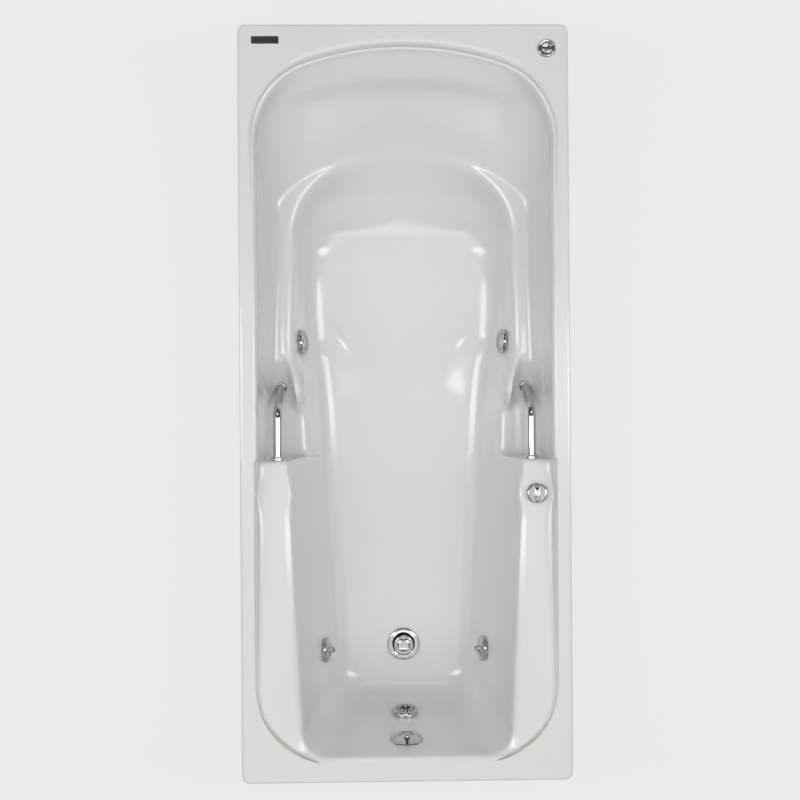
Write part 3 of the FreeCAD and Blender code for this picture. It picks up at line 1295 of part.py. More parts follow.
# ---------------------------------------------------------------- controls
def make_air_control():
    """Returns the nut, which is saved with the other control's nut."""
    bezel_top = gasket_thickness + 3.0
    radius = air_body_radius
    low = -shell_thickness - 4.0
    gasket = seated(ring(air_knob_radius - 1.0, radius + 0.2, -3.0, gasket_thickness), shell, knob_spot)
    under = seated(ring(air_knob_radius, radius + 0.2, 3.0 - shell_thickness, low), shell, knob_spot,
                   outside=True)
    group("air_control_gaskets", [gasket, under])
    end = -air_body_length
    body = turned([(radius - 3.0, bezel_top), (air_knob_radius, bezel_top),
                   (air_knob_radius, gasket_thickness), (radius, gasket_thickness),
                   (radius, end + 10.0), (11.0, end + 6.0), (11.0, end), (8.6, end), (8.6, end + 8.0),
                   (radius - 3.0, end + 12.0)])
    save("air_control_body", put(body, knob_spot))
    base = bezel_top + clearance
    knob = turned([(0.0, base), (air_knob_radius, base), (air_knob_radius, base + 4.0),
                   (air_knob_radius - 2.0, base + 5.5), (0.0, base + 5.5)])
    hub = disc(radius - 3.0 - clearance, -12.0, base + 1.0).cut(disc(radius - 6.0, -13.0, base - 1.0))
    waist = [(-4.0, -air_knob_radius), (4.0, -air_knob_radius), (6.5, 0.0), (4.0, air_knob_radius),
             (-4.0, air_knob_radius), (-6.5, 0.0)]
    outline = [Vector(x, y, base) for x, y in waist]
    grip = Part.Face(Part.makePolygon(outline + outline[:1])).extrude(Vector(0.0, 0.0, air_knob_height))
    grip = grip.common(disc(air_knob_radius - 1.0, base, base + air_knob_height))
    save("air_control_knob", put(knob.fuse(hub).fuse(grip), knob_spot))
    return put(hexagon(2 * radius + 14.0, radius + 0.05, low - nut_thickness, low), knob_spot)


def make_air_button():
    """Bezel, button and the cup behind them; returns the nut."""
    wall = button_radius + wall_of_fitting
    bore = button_radius - 1.0
    flange = 0.8
    body = turned([(bore, flange), (bezel_radius - 1.0, flange), (bezel_radius - 1.0, 0.0), (wall, 0.0),
                   (wall, -34.0), (5.0, -40.0), (5.0, -52.0), (2.5, -52.0), (2.5, -36.0), (bore, -31.0)])
    save("air_button_body", put(body, button_spot))
    bezel = turned([(button_radius, flange), (bezel_radius, flange), (bezel_radius, 2.6),
                    (bezel_radius - 2.2, 5.4), (button_radius + 1.6, 5.8), (button_radius, 4.8)])
    save("air_button_bezel", put(bezel, button_spot))
    radius = bore - clearance
    top = 5.0 + button_travel
    button = turned([(0.0, -8.0), (radius, -8.0), (radius, top - 3.0), (radius - 1.6, top - 0.8),
                     (radius - 6.0, top + 0.6), (0.0, top + 1.2)])
    save("air_button", put(button, button_spot))
    low = -shell_thickness
    return put(hexagon(2 * wall + 12.0, wall + 0.05, low - nut_thickness, low), button_spot)


def make_badge():
    length, width, height = badge_size
    corner = Vector(badge_place[0] - length / 2, badge_place[1] - width / 2, deck_height)
    plate = Part.makeBox(length, width, height, corner)
    upright_edges = [edge for edge in plate.Edges if abs(edge.tangentAt(0.0).z) > 0.9]
    plate = plate.makeFillet(3.0, upright_edges)
    save("badge_plate", plate)


def make_grab_bars():
    save("grab_bar_right", bar_tube)
    save("grab_bar_left", mirrored(bar_tube))
    collars = []
    nuts = []
    for place in bar_ends:
        collar = turned([(grab_bar_radius + 0.1, -8.0), (collar_radius, -8.0), (collar_radius, 3.5),
                         (collar_radius - 2.0, 6.0), (grab_bar_radius + 0.1, 6.5)])
        collar = seated(collar, shell, place)
        washer = seated(ring(collar_radius + 2.0, grab_bar_radius + 0.1, -4.0, -16.0), shell, place,
                        outside=True)
        nut = put(hexagon(2 * grab_bar_radius + 12.0, grab_bar_radius + 0.05, -16.0 - nut_thickness, -16.0),
                  place)
        collars += [collar, mirrored(collar)]
        nuts += [nut, mirrored(nut), washer, mirrored(washer)]
    group("grab_bar_collars", collars)
    group("grab_bar_nuts", nuts)


make_base()
pipe_start = make_drain()
over_bottom, down = make_waste(pipe_start)
make_overflow(over_bottom, down)
make_linkage()
suction_seat, suction_gaskets, suction_ring = make_suction()
jet_gaskets, jet_rings, jet_bodies, filled_bodies = make_jets()
outlet_top, pump_inlet = make_pump()
make_suction_pipe(pump_inlet, suction_seat)
ports = make_pressure_pipes(outlet_top, filled_bodies) + make_air_pipes(filled_bodies)
group("jet_bodies", [without(body, ports) for body in jet_bodies])
group("wall_gaskets", jet_gaskets + suction_gaskets)
group("wall_rings", jet_rings + [suction_ring])
group("control_nuts", [make_air_control(), make_air_button()])
make_badge()
make_grab_bars()
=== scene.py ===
import json
import math

import bmesh
import bpy
from mathutils import Matrix, Vector


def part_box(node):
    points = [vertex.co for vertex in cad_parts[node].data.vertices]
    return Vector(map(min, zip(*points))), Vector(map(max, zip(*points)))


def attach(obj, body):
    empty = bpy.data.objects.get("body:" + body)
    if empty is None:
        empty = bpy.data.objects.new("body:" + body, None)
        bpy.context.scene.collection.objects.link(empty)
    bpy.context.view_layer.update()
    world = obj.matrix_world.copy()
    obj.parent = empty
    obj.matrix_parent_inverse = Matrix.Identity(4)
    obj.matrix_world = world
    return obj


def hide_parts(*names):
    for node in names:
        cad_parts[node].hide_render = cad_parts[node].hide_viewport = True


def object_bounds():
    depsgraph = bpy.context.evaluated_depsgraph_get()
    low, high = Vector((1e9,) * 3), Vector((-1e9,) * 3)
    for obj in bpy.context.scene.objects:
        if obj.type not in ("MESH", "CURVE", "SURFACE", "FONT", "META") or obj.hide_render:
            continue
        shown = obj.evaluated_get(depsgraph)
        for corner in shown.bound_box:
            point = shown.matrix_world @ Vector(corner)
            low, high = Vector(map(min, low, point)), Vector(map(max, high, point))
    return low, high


# Jetted bathtub, metres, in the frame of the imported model: +Y to the head end, +Z up.

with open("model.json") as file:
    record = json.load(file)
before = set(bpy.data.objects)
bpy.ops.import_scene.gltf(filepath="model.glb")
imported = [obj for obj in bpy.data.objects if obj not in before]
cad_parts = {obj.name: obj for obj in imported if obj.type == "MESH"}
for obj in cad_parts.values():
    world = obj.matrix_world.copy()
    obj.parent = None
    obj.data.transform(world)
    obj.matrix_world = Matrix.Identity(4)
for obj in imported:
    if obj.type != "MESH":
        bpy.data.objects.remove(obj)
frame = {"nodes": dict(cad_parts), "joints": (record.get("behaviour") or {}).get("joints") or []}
cad_low, cad_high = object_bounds()
nodes = frame["nodes"]
joints = {joint["name"]: joint for joint in frame["joints"]}

# ---------------------------------------------------------------- driving sizes of the shell
ridge_rise = 0.010
half_width = (cad_high.x - cad_low.x) / 2
half_length = (cad_high.y - cad_low.y) / 2
deck = cad_high.z - ridge_rise
shell_thickness = 0.007
skirt_depth = 0.035
rim_corner_radius = 0.019
rim_edge_radius = 0.006
side_deck = 0.033
head_deck = 0.0585
foot_deck = 0.062
ridge_width = 0.036
lip_inset = 0.009
foot_roll_radius = 0.013
foot_corner_outer = 0.190
foot_corner_inner = 0.060
arch_corner_radius = 0.190
arch_crown_radius = 0.760
headrest_length = 0.060
headrest_drop = 0.045
armrest_depth = 0.168
armrest_fillet = 0.014
notch_depth = 0.215
step_slope = 0.0025
step_round_top = 0.014       # rounded upper edge of the notch's end face
step_round_low = 0.018
foot_ledge_depth = 0.045
floor_depth_foot = 0.385
floor_depth_head = 0.350


def from_foot(distance):
    """Station on Y at a distance from the foot end."""
    return distance - half_length


def from_head(distance):
    return half_length - distance


def inboard(distance):
    """Place on X at a distance from the outer edge of the side."""
    return half_width - distance


lip_rise_start = from_head(0.4945)
lip_rise_end = from_head(0.2445)
notch_foot_end = from_head(1.0525)
notch_ramp_start = from_head(0.8675)
notch_ramp_end = from_head(0.7925)
drain_y = from_foot(0.2595)
seat_back_y = from_head(0.4625)

# Half widths of the basin's lines, as (y, half width) from the foot end to the head end.
ledge_outer_foot = [(from_foot(0.1245), inboard(0.038)), (from_head(1.0555), inboard(0.044))]
ledge_outer_head = [(from_head(1.0495), inboard(0.068)), (from_head(0.8675), inboard(0.068)),
                    (from_head(0.7925), inboard(0.067)), (from_head(0.7405), inboard(0.069)),
                    (from_head(0.5795), inboard(0.075))]
ledge_inner_foot = [(from_foot(0.1355), inboard(0.141)), (from_foot(0.4065), inboard(0.126)),
                    (from_head(1.0555), inboard(0.108))]
ledge_inner_head = [(from_head(1.0495), inboard(0.152)), (from_head(0.9045), inboard(0.144)),
                    (from_head(0.7925), inboard(0.119)), (from_head(0.7405), inboard(0.116)),
                    (from_head(0.5795), inboard(0.120))]
floor_width = [(from_foot(0.2245), inboard(0.234)), (from_foot(0.3845), inboard(0.226)),
               (from_foot(0.5865), inboard(0.213)), (from_head(1.0695), inboard(0.204)),
               (from_head(0.9045), inboard(0.194)), (from_head(0.8235), inboard(0.184)),
               (from_head(0.7485), inboard(0.173)), (from_head(0.6645), inboard(0.168)),
               (from_head(0.5745), inboard(0.170))]

# ---------------------------------------------------------------- mesh density of the shell
foot_spans = 72              # even spans of a basin line, from the foot middle to the notch
head_spans = 100             # and from the notch to the head middle
edge_steps = 6               # columns on each rounded edge of the notch's end face
face_steps = 4
row_length = 0.009           # wanted height of a mesh row
floor_rows = 22
corner_steps = 12


# ---------------------------------------------------------------- lines round the basin
def law(keys, y):
    """Value at y of a smooth curve through the keys, level beyond both ends."""
    if y <= keys[0][0]:
        return keys[0][1]
    if y >= keys[-1][0]:
        return keys[-1][1]
    last = len(keys) - 1
    index = max(k for k in range(last) if keys[k][0] <= y)

    def slope(k):
        before = keys[max(k - 1, 0)]
        after = keys[min(k + 1, last)]
        return (after[1] - before[1]) / (after[0] - before[0])

    y0, v0 = keys[index]
    y1, v1 = keys[index + 1]
    run = y1 - y0
    t = (y - y0) / run
    value = v0 * (2 * t**3 - 3 * t**2 + 1) + v1 * (3 * t**2 - 2 * t**3)
    value += run * slope(index) * (t**3 - 2 * t**2 + t)
    value += run * slope(index + 1) * (t**3 - t**2)
    return value


def ease(t):
    t = min(1.0, max(0.0, t))
    return t * t * (3 - 2 * t)


def mix(a, b, share):
    return a + (b - a) * share


def steps(start, end, count):
    """count values from start towards end, without the end itself."""
    return [start + (end - start) * k / count for k in range(count)]


def spaced(points, spans):
    """The same line with its points evenly spaced."""
    reach = [0.0]
    for before, after in zip(points, points[1:]):
        reach.append(reach[-1] + (after - before).length)
    result = []
    index = 0
    for k in range(spans + 1):
        target = reach[-1] * k / spans
        while index < len(points) - 2 and reach[index + 1] < target:
            index += 1
        share = (target - reach[index]) / (reach[index + 1] - reach[index])
        result.append(points[index].lerp(points[index + 1], share))
    return result


def corner_curve(start, corner, end, count):
    """count + 1 points of a curve from start to end that bends round the corner."""
    points = []
    for k in range(count + 1):
        t = k / count
        points.append(tuple(mix(mix(a, b, t), mix(b, c, t), t) for a, b, c in zip(start, corner, end)))
    return points


def step_profile():
    """(y, share of the drop) down the notch's end face, with rounded edges above and below."""
    drop = notch_depth - foot_ledge_depth
    top = (notch_foot_end - step_slope, 0.0)
    low = (notch_foot_end + step_slope, 1.0)

    def on_face(share):
        return (mix(top[0], low[0], share), share)

    leave = on_face(step_round_top / drop)
    enter = on_face(1.0 - step_round_low / drop)
    points = corner_curve((top[0] - step_round_top, 0.0), top, leave, edge_steps)
    points += [on_face(mix(leave[1], enter[1], k / face_steps)) for k in range(1, face_steps)]
    points += corner_curve(enter, low, (low[0] + step_round_low, 1.0), edge_steps)
    return points


class Line:
    """One closed line round the basin, given by its half from the foot middle to the head middle."""

    def __init__(self, foot, head, width_foot, width_head, depth_foot, depth_head, crown_depth):
        self.foot_y, self.foot_radius = foot
        self.head_y, self.head_radius, self.crown_radius = head
        self.width_foot = width_foot
        self.width_head = width_head
        self.depth_foot = depth_foot
        self.depth_head = depth_head
        self.crown_depth = crown_depth

    def foot_points(self):
        radius = self.foot_radius
        bend_end = self.foot_y + radius
        centre_x = law(self.width_foot, bend_end) - radius
        plan = [(x, self.foot_y) for x in steps(0.0, centre_x, 16)]
        for angle in steps(0.0, math.pi / 2, 32):
            plan.append((centre_x + radius * math.sin(angle), bend_end - radius * math.cos(angle)))
        last = step_profile()[0][0]
        for y in steps(bend_end, last, 60) + [last]:
            plan.append((law(self.width_foot, y), y))
        return [Vector((x, y, deck - self.depth_foot(y))) for x, y in plan]

    def step_points(self):
        points = []
        for y, share in step_profile():
            width = mix(law(self.width_foot, y), law(self.width_head, y), share)
            depth = mix(self.depth_foot(y), self.depth_head(y), share)
            points.append(Vector((width, y, deck - depth)))
        return points

    def head_points(self):
        width = self.width_head[-1][1]
        radius = self.head_radius
        crown = self.crown_radius
        crown_y = self.head_y - crown
        bend_y = crown_y + math.sqrt((crown - radius) ** 2 - (width - radius) ** 2)
        points = []
        for y in steps(step_profile()[-1][0], bend_y, 90):
            points.append(Vector((law(self.width_head, y), y, deck - self.depth_head(y))))
        tangent = math.atan2(bend_y - crown_y, width - radius)
        plan = []
        for angle in steps(0.0, tangent, 32):
            plan.append((width - radius + radius * math.cos(angle), bend_y + radius * math.sin(angle)))
        for angle in steps(tangent, math.pi / 2, 32):
            plan.append((crown * math.cos(angle), crown_y + crown * math.sin(angle)))
        plan.append((0.0, self.head_y))
        side_depth = self.depth_head(bend_y)
        for x, y in plan:
            depth = mix(side_depth, self.crown_depth, ease(1.0 - x / width))
            points.append(Vector((x, y, deck - depth)))
        return points

    def half(self):
        return (spaced(self.foot_points(), foot_spans)[:-1] + self.step_points()
                + spaced(self.head_points(), head_spans)[1:])


def level(depth):
    return lambda y: depth


def floor_depth(y):
    slope = (floor_depth_head - floor_depth_foot) / (seat_back_y - drain_y)
    return floor_depth_foot + slope * (y - drain_y)


foot_edge_y = from_foot(foot_deck)
ledge_rise_end = foot_edge_y + 0.025


def ledge_foot_depth(y):
    """Depth of the foot ledge: level with the deck at the foot end, deepest at the notch."""
    return foot_ledge_depth * max(0.0, (y - ledge_rise_end) / (notch_foot_end - ledge_rise_end))


def ledge_head_depth(y):
    """Depth of the notch floor, its ramp and the armrest."""
    share = ease((y - notch_ramp_start) / (notch_ramp_end - notch_ramp_start))
    return mix(notch_depth, armrest_depth, share)


def deeper(depth_law, extra):
    return lambda y: depth_law(y) + extra


def between(law_a, law_b, share):
    return lambda y: mix(law_a(y), law_b(y), share)


def shifted(keys, change):
    return [(y, width + change) for y, width in keys]


def mixed(keys_a, keys_b, share):
    """Width law between two others, on the first one's stations."""
    return [(y, mix(width, law(keys_b, y), share)) for y, width in keys_a]


rim_width = inboard(side_deck)
arch_y = from_head(head_deck)
wall_draft = (rim_width - ledge_outer_head[-2][1]) / armrest_depth


def lip_rise(y):
    """The lip rises from the deck over the last stretch of the side towards the head."""
    return ridge_rise * ease((y - lip_rise_start) / (lip_rise_end - lip_rise_start))


def foot_roll(angle):
    """Place and depth on the rounded edge of the foot end's deck."""
    roll = math.radians(angle)
    return (foot_edge_y - foot_roll_radius * (1 - math.sin(roll)), foot_roll_radius * (1 - math.cos(roll)))


def basin_line(roll, foot_radius, foot_share, width_foot, head, width_head, depth_head, crown_depth):
    """A line between the deck and the inner edge of the ledges."""
    foot_y, extra = foot_roll(roll)
    depth_foot = deeper(lambda y: foot_share * ledge_foot_depth(y), extra)
    return Line((foot_y, foot_radius), head, width_foot, width_head, depth_foot, depth_head, crown_depth)


def lip_line(roll, inset, drop, foot_share):
    """A line on the lip, where the deck rolls over into the basin."""
    head = (arch_y - inset, arch_corner_radius - inset * 0.4, arch_crown_radius - inset)
    width_foot = mixed([(0.0, rim_width)], ledge_outer_foot, foot_share)
    return basin_line(roll, foot_corner_outer, foot_share, width_foot, head, [(0.0, rim_width - inset)],
                      lambda y: drop - lip_rise(y), drop - ridge_rise)


def wall_line(foot, head, width_change, depth_foot, depth_head, crown_depth):
    """A line near the floor, parallel to the floor's outline."""
    widths = shifted(floor_width, width_change)
    return Line(foot, head, widths, widths, depth_foot, depth_head, crown_depth)


basin_lines = [
    Line((foot_edge_y - foot_roll_radius - 0.004, foot_corner_outer),
         (arch_y + ridge_width, arch_corner_radius + 0.014, arch_crown_radius + ridge_width),
         [(0.0, rim_width + 0.003)], [(0.0, rim_width + 0.006)], level(0.0), level(0.0), 0.0),
    lip_line(0.0, 0.0, 0.0, 0.0),
    lip_line(3.0, lip_inset * 0.55, lip_inset * 0.2, 0.12),
    lip_line(6.0, lip_inset, lip_inset, 0.35),
    basin_line(10.0, foot_corner_outer - 0.003, 0.6, mixed([(0.0, rim_width)], ledge_outer_foot, 0.7),
               (arch_y - headrest_length, 0.150, 1.000),
               [(0.0, rim_width - headrest_drop * wall_draft)], level(headrest_drop), headrest_drop),
    basin_line(14.0, foot_corner_outer - 0.005, 0.85, shifted(ledge_outer_foot, 0.001),
               (from_head(0.2365), 0.090, 0.450), shifted(ledge_outer_head, 0.003),
               deeper(ledge_head_depth, -armrest_fillet), 0.175),
    basin_line(18.0, foot_corner_outer - 0.015, 1.0, shifted(ledge_outer_foot, -0.009),
               (from_head(0.2595), 0.066, 0.420), shifted(ledge_outer_head, -0.009),
               ledge_head_depth, 0.197),
    basin_line(45.0, foot_corner_inner + 0.010, 1.0, shifted(ledge_inner_foot, 0.014),
               (from_head(0.2805), 0.200, 0.500), shifted(ledge_inner_head, 0.012),
               deeper(ledge_head_depth, 0.0005), 0.216),
    basin_line(62.0, foot_corner_inner + 0.004, 1.0, shifted(ledge_inner_foot, 0.003),
               (from_head(0.2885), 0.190, 0.500), shifted(ledge_inner_head, 0.0025),
               deeper(ledge_head_depth, 0.0045), 0.224),
    basin_line(80.0, foot_corner_inner, 1.0, shifted(ledge_inner_foot, -0.0035),
               (from_head(0.2965), 0.180, 0.500), shifted(ledge_inner_head, -0.004),
               deeper(ledge_head_depth, 0.015), 0.232),
    Line((from_foot(0.0995), 0.070), (from_head(0.3545), 0.130, 0.700),
         mixed(shifted(ledge_inner_foot, -0.004), floor_width, 0.45),
         mixed(shifted(ledge_inner_head, -0.004), shifted(floor_width, 0.008), 0.5),
         between(ledge_foot_depth, floor_depth, 0.5),
         between(ledge_head_depth, floor_depth, 0.55), 0.285),
    wall_line((from_foot(0.1265), 0.070), (from_head(0.4095), 0.095, 1.200), 0.017,
              deeper(floor_depth, -0.048), deeper(floor_depth, -0.044), 0.321),
    wall_line((from_foot(0.1425), 0.062), (from_head(0.4425), 0.080, 1.800), 0.003,
              deeper(floor_depth, -0.015), deeper(floor_depth, -0.013), floor_depth(seat_back_y) - 0.012),
    wall_line((from_foot(0.1725), 0.045), (from_head(0.4745), 0.062, 2.500), -0.022,
              floor_depth, floor_depth, floor_depth(from_head(0.4745)))]


# ---------------------------------------------------------------- places of the fittings
def place_at(origin, axis, side=(0.0, 1.0, 0.0)):
    """Matrix whose Z is the axis and whose Y is as near to the side as it can be."""
    z = Vector(axis).normalized()
    x = Vector(side).cross(z).normalized()
    y = z.cross(x)
    turn = Matrix((x, y, z)).transposed().to_4x4()
    return Matrix.Translation(Vector(origin)) @ turn


def middle_of(node):
    low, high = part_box(node)
    return (low + high) / 2


def joint_place(name):
    joint = joints[name]
    return place_at(joint["pos_m"], joint["axis"])


jet_names = ["upper_left", "upper_right", "lower_left", "lower_right"]
jet_places = {name: joint_place("trim_" + name + "_turn") for name in jet_names}
knob_place = joint_place("air_control_turn")
lever_pivot = Vector(joints["lever_turn"]["pos_m"])
lever_pivot_back = 0.013
wall_lean_overflow = math.radians(11.5)
wall_lean_suction = math.radians(10.5)


def wall_axis(lean):
    """Normal of the foot wall, which leans outward by this angle."""
    return Vector((0.0, math.cos(lean), math.sin(lean)))


overflow_place = place_at(lever_pivot + wall_axis(wall_lean_overflow) * lever_pivot_back,
                          wall_axis(wall_lean_overflow), (0.0, 0.0, 1.0))
screw_low, screw_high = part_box("suction_screw")
suction_ray = wall_axis(wall_lean_suction)
suction_tip = Vector((0.0, screw_high.y, (screw_low.z + screw_high.z) / 2 + 0.0019))
suction_place = place_at(suction_tip - suction_ray * 0.020, suction_ray, (0.0, 0.0, 1.0))
flange_rise = 0.0066         # the drain flange's top above the floor at the drain
drain_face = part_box("drain_flange")[1].z - flange_rise
drain_place = Matrix.Translation((0.0, drain_y, drain_face))
button_middle = middle_of("air_button")
button_place = Matrix.Translation((button_middle.x, button_middle.y, deck))

# ---------------------------------------------------------------- grab bar's path
grab_bar_x = inboard(0.085)
grab_bar_height = deck - 0.085
grab_bar_radius = 0.0105
grab_bar_bend = 0.030
grab_bar_slope = math.radians(65.0)
bar_corner = Vector((grab_bar_x, from_head(0.9525) + grab_bar_bend * math.tan(grab_bar_slope / 2),
                     grab_bar_height))
bar_down = Vector((0.0, math.cos(grab_bar_slope), -math.sin(grab_bar_slope)))
bar_foot = bar_corner + bar_down * ((notch_depth - 0.085) / math.sin(grab_bar_slope))
bar_behind = 0.026


# ---------------------------------------------------------------- materials
class Nodes:
    """Short names for the nodes of one material."""

    def __init__(self, name):
        self.material = bpy.data.materials.new(name)
        self.material.use_nodes = True
        self.tree = self.material.node_tree
        self.shader = self.tree.nodes["Principled BSDF"]

    def add(self, kind, **values):
        node = self.tree.nodes.new(kind)
        for key, value in values.items():
            if key in node.inputs:
                node.inputs[key].default_value = value
            else:
                setattr(node, key, value)
        return node

    def link(self, output, target):
        self.tree.links.new(output, target)

    def place(self):
        return self.add("ShaderNodeTexCoord").outputs["Object"]

    def noise(self, scale, detail=3.0, stretch=None):
        """Noise of the object's own place; its scale is in waves a metre."""
        noise = self.add("ShaderNodeTexNoise", Scale=scale, Detail=detail)
        source = self.place()
        if stretch:
            mapping = self.add("ShaderNodeMapping", Scale=stretch)
            self.link(source, mapping.inputs["Vector"])
            source = mapping.outputs["Vector"]
        self.link(source, noise.inputs["Vector"])
        return noise.outputs["Fac"]

    def ramp(self, source, low, high, start=0.3, end=0.7):
        """Colour between two others, as the source goes from start to end."""
        ramp = self.add("ShaderNodeValToRGB")
        for stop, (position, colour) in zip(ramp.color_ramp.elements, ((start, low), (end, high))):
            stop.position = position
            stop.color = (*colour, 1.0)
        self.link(source, ramp.inputs["Fac"])
        return ramp.outputs["Color"]

    def span(self, source, low, high):
        """The source, from 0 to 1, as a number between two others."""
        spread = self.add("ShaderNodeMapRange")
        spread.inputs["To Min"].default_value = low
        spread.inputs["To Max"].default_value = high
        self.link(source, spread.inputs["Value"])
        return spread.outputs["Result"]

    def bump(self, source, height, strength=1.0):
        bump = self.add("ShaderNodeBump", Distance=height, Strength=strength)
        self.link(source, bump.inputs["Height"])
        self.link(bump.outputs["Normal"], self.shader.inputs["Normal"])
        return bump

    def colour(self, source):
        self.link(source, self.shader.inputs["Base Color"])

    def roughness(self, source):
        self.link(source, self.shader.inputs["Roughness"])


def grey(value, warm=0.0):
    return (value * (1 + warm), value, value * (1 - warm))


def finish(name, colour, gloss, relief, **sockets):
    """Material whose colour, roughness and fine relief each follow a noise, given first."""
    n = Nodes(name)
    waves, low, high = colour
    n.colour(n.ramp(n.noise(*waves), low, high))
    waves, low, high = gloss
    n.roughness(n.span(n.noise(*waves), low, high))
    waves, height = relief
    n.bump(n.noise(*waves), height)
    for socket, value in sockets.items():
        n.shader.inputs[socket.replace("_", " ")].default_value = value
    return n.material


def chrome(name, tint, smooth, rough):
    return finish(name, ((30.0,), grey(tint - 0.02, -0.01), grey(tint + 0.02, -0.01)),
                  ((70.0,), smooth, rough), ((90.0,), 0.00002), Metallic=1.0)


def plastic(name, low, high, smooth, rough):
    return finish(name, ((14.0,), low, high), ((45.0,), smooth, rough), ((900.0, 2.0), 0.00006))


def machined(name, low, high, smooth, rough):
    """Turned metal with fine rings of tool marks."""
    return finish(name, ((60.0,), low, high), ((300.0, 2.0, (1.0, 1.0, 12.0)), smooth, rough),
                  ((900.0, 1.0, (0.2, 0.2, 3.0)), 0.00003), Metallic=1.0)


def plywood():
    """Face veneer with long grain, plies on the edges and a few darker streaks."""
    n = Nodes("plywood_birch")
    wave = n.add("ShaderNodeTexWave", Scale=3.0, Distortion=7.0, Detail=3.0)
    wave.inputs["Detail Scale"].default_value = 1.6
    wave.bands_direction = "X"
    mapping = n.add("ShaderNodeMapping", Scale=(6.0, 0.9, 30.0))
    n.link(n.place(), mapping.inputs["Vector"])
    n.link(mapping.outputs["Vector"], wave.inputs["Vector"])
    pores = n.noise(700.0, 3.0, (1.0, 0.03, 1.0))
    blend = n.add("ShaderNodeMixRGB", blend_type="MULTIPLY", Fac=0.35)
    n.link(n.ramp(wave.outputs["Fac"], (0.44, 0.29, 0.155), (0.60, 0.43, 0.25), 0.1, 0.9), blend.inputs[1])
    n.link(n.ramp(pores, (0.55, 0.5, 0.45), (1.0, 1.0, 1.0), 0.25, 0.6), blend.inputs[2])
    n.colour(blend.outputs["Color"])
    n.roughness(n.span(pores, 0.55, 0.8))
    n.bump(pores, 0.0002)
    return n.material


def foam():
    """Rigid foam made of pressed beads."""
    n = Nodes("foam_beads")
    beads = n.add("ShaderNodeTexVoronoi", Scale=210.0)
    n.link(n.place(), beads.inputs["Vector"])
    n.colour(n.ramp(beads.outputs["Distance"], (0.76, 0.75, 0.68), (0.62, 0.60, 0.52), 0.2, 0.8))
    n.shader.inputs["Roughness"].default_value = 0.8
    n.bump(beads.outputs["Distance"], 0.0008, -1.0)
    return n.material


brushed = (900.0, 2.0, (0.02, 1.0, 1.0))    # noise of a plate brushed along its length
finishes = {
    # glossy acrylic with a faint ripple in its skin
    "acrylic": finish("acrylic_white", ((5.0, 2.0), grey(0.760), grey(0.775)), ((9.0,), 0.16, 0.22),
                      ((140.0, 2.0), 0.00003), IOR=1.49, Coat_Weight=0.25, Coat_Roughness=0.05),
    "chrome": chrome("chrome_polished", 0.56, 0.05, 0.10),
    "chromed_plastic": chrome("chrome_on_plastic", 0.54, 0.07, 0.13),
    "white_nozzle": plastic("nozzle_white", grey(0.60), grey(0.66), 0.18, 0.28),
    # extruded pipe: faint lines along its length and a satin skin
    "white_pipe": finish("white_pipe_plastic", ((12.0,), (0.73, 0.73, 0.71), (0.79, 0.79, 0.775)),
                         ((25.0, 3.0, (20.0, 1.0, 20.0)), 0.28, 0.42),
                         ((400.0, 2.0, (1.0, 0.05, 1.0)), 0.00005)),
    "grey_fitting": plastic("fitting_grey", grey(0.17), grey(0.21), 0.38, 0.55),
    "black_plastic": plastic("plastic_black", grey(0.012), grey(0.022), 0.3, 0.45),
    "seal": finish("seal_rubber", ((80.0,), grey(0.02), grey(0.035)), ((150.0,), 0.6, 0.8),
                   ((1200.0,), 0.0001)),
    "brass": machined("brass_turned", (0.62, 0.45, 0.20), (0.75, 0.57, 0.28), 0.18, 0.34),
    "steel": machined("steel_zinc", grey(0.52), grey(0.62), 0.22, 0.40),
    # dark motor enamel with a little orange peel
    "motor_paint": finish("motor_enamel", ((22.0,), (0.028, 0.033, 0.042), (0.042, 0.048, 0.060)),
                          ((50.0,), 0.26, 0.42), ((350.0, 2.0), 0.00015), Coat_Weight=0.3),
    "plywood": plywood(),
    "foam": foam(),
    # dark anodised plate
    "plate": finish("plate_brushed", (brushed, grey(0.028), grey(0.055)), (brushed, 0.25, 0.42),
                    (brushed, 0.00002), Metallic=0.6),
}
# sprayed resin and chopped glass on the back of the shell
backing = finish("fibre_backing", ((260.0, 4.0, (1.0, 0.18, 1.0)), (0.52, 0.50, 0.42), (0.66, 0.64, 0.57)),
                 ((60.0,), 0.42, 0.7), ((180.0, 6.0), 0.0012))
slot_of = {name: node.material_slots[0].material.name.split(".")[0] for name, node in nodes.items()}
for name, node in nodes.items():
    for slot in node.material_slots:
        slot.material = finishes[slot_of[name]]


# ---------------------------------------------------------------- pieces
def add_piece(name, mesh, slot, body="bath", replaced=(), smooth_angle=38.0):
    """Object of a finished mesh, with its finish, its body and the nodes that it stands for."""
    piece = bpy.data.objects.new(name, mesh)
    bpy.context.scene.collection.objects.link(piece)
    if not mesh.materials:
        mesh.materials.append(finishes[slot])
    mesh.shade_smooth()
    mesh.set_sharp_from_angle(angle=math.radians(smooth_angle))
    if replaced:
        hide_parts(*replaced)
    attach(piece, body)
    return piece


def mesh_from(bm, name):
    mesh = bpy.data.meshes.new(name)
    bmesh.ops.recalc_face_normals(bm, faces=bm.faces)
    bm.to_mesh(mesh)
    bm.free()
    return mesh


def soften(profile, radius, count=4):
    """The profile with each inner corner bent round, by at most half of the shorter side."""
    points = [Vector(point) for point in profile]
    result = [points[0]]
    for before, corner, after in zip(points, points[1:], points[2:]):
        back, ahead = before - corner, after - corner
        reach = min(radius, back.length * 0.48, ahead.length * 0.48)
        start = corner + back.normalized() * reach
        end = corner + ahead.normalized() * reach
        for k in range(count + 1):
            t = k / count
            result.append(start.lerp(corner, t).lerp(corner.lerp(end, t), t))
    return result + [points[-1]]


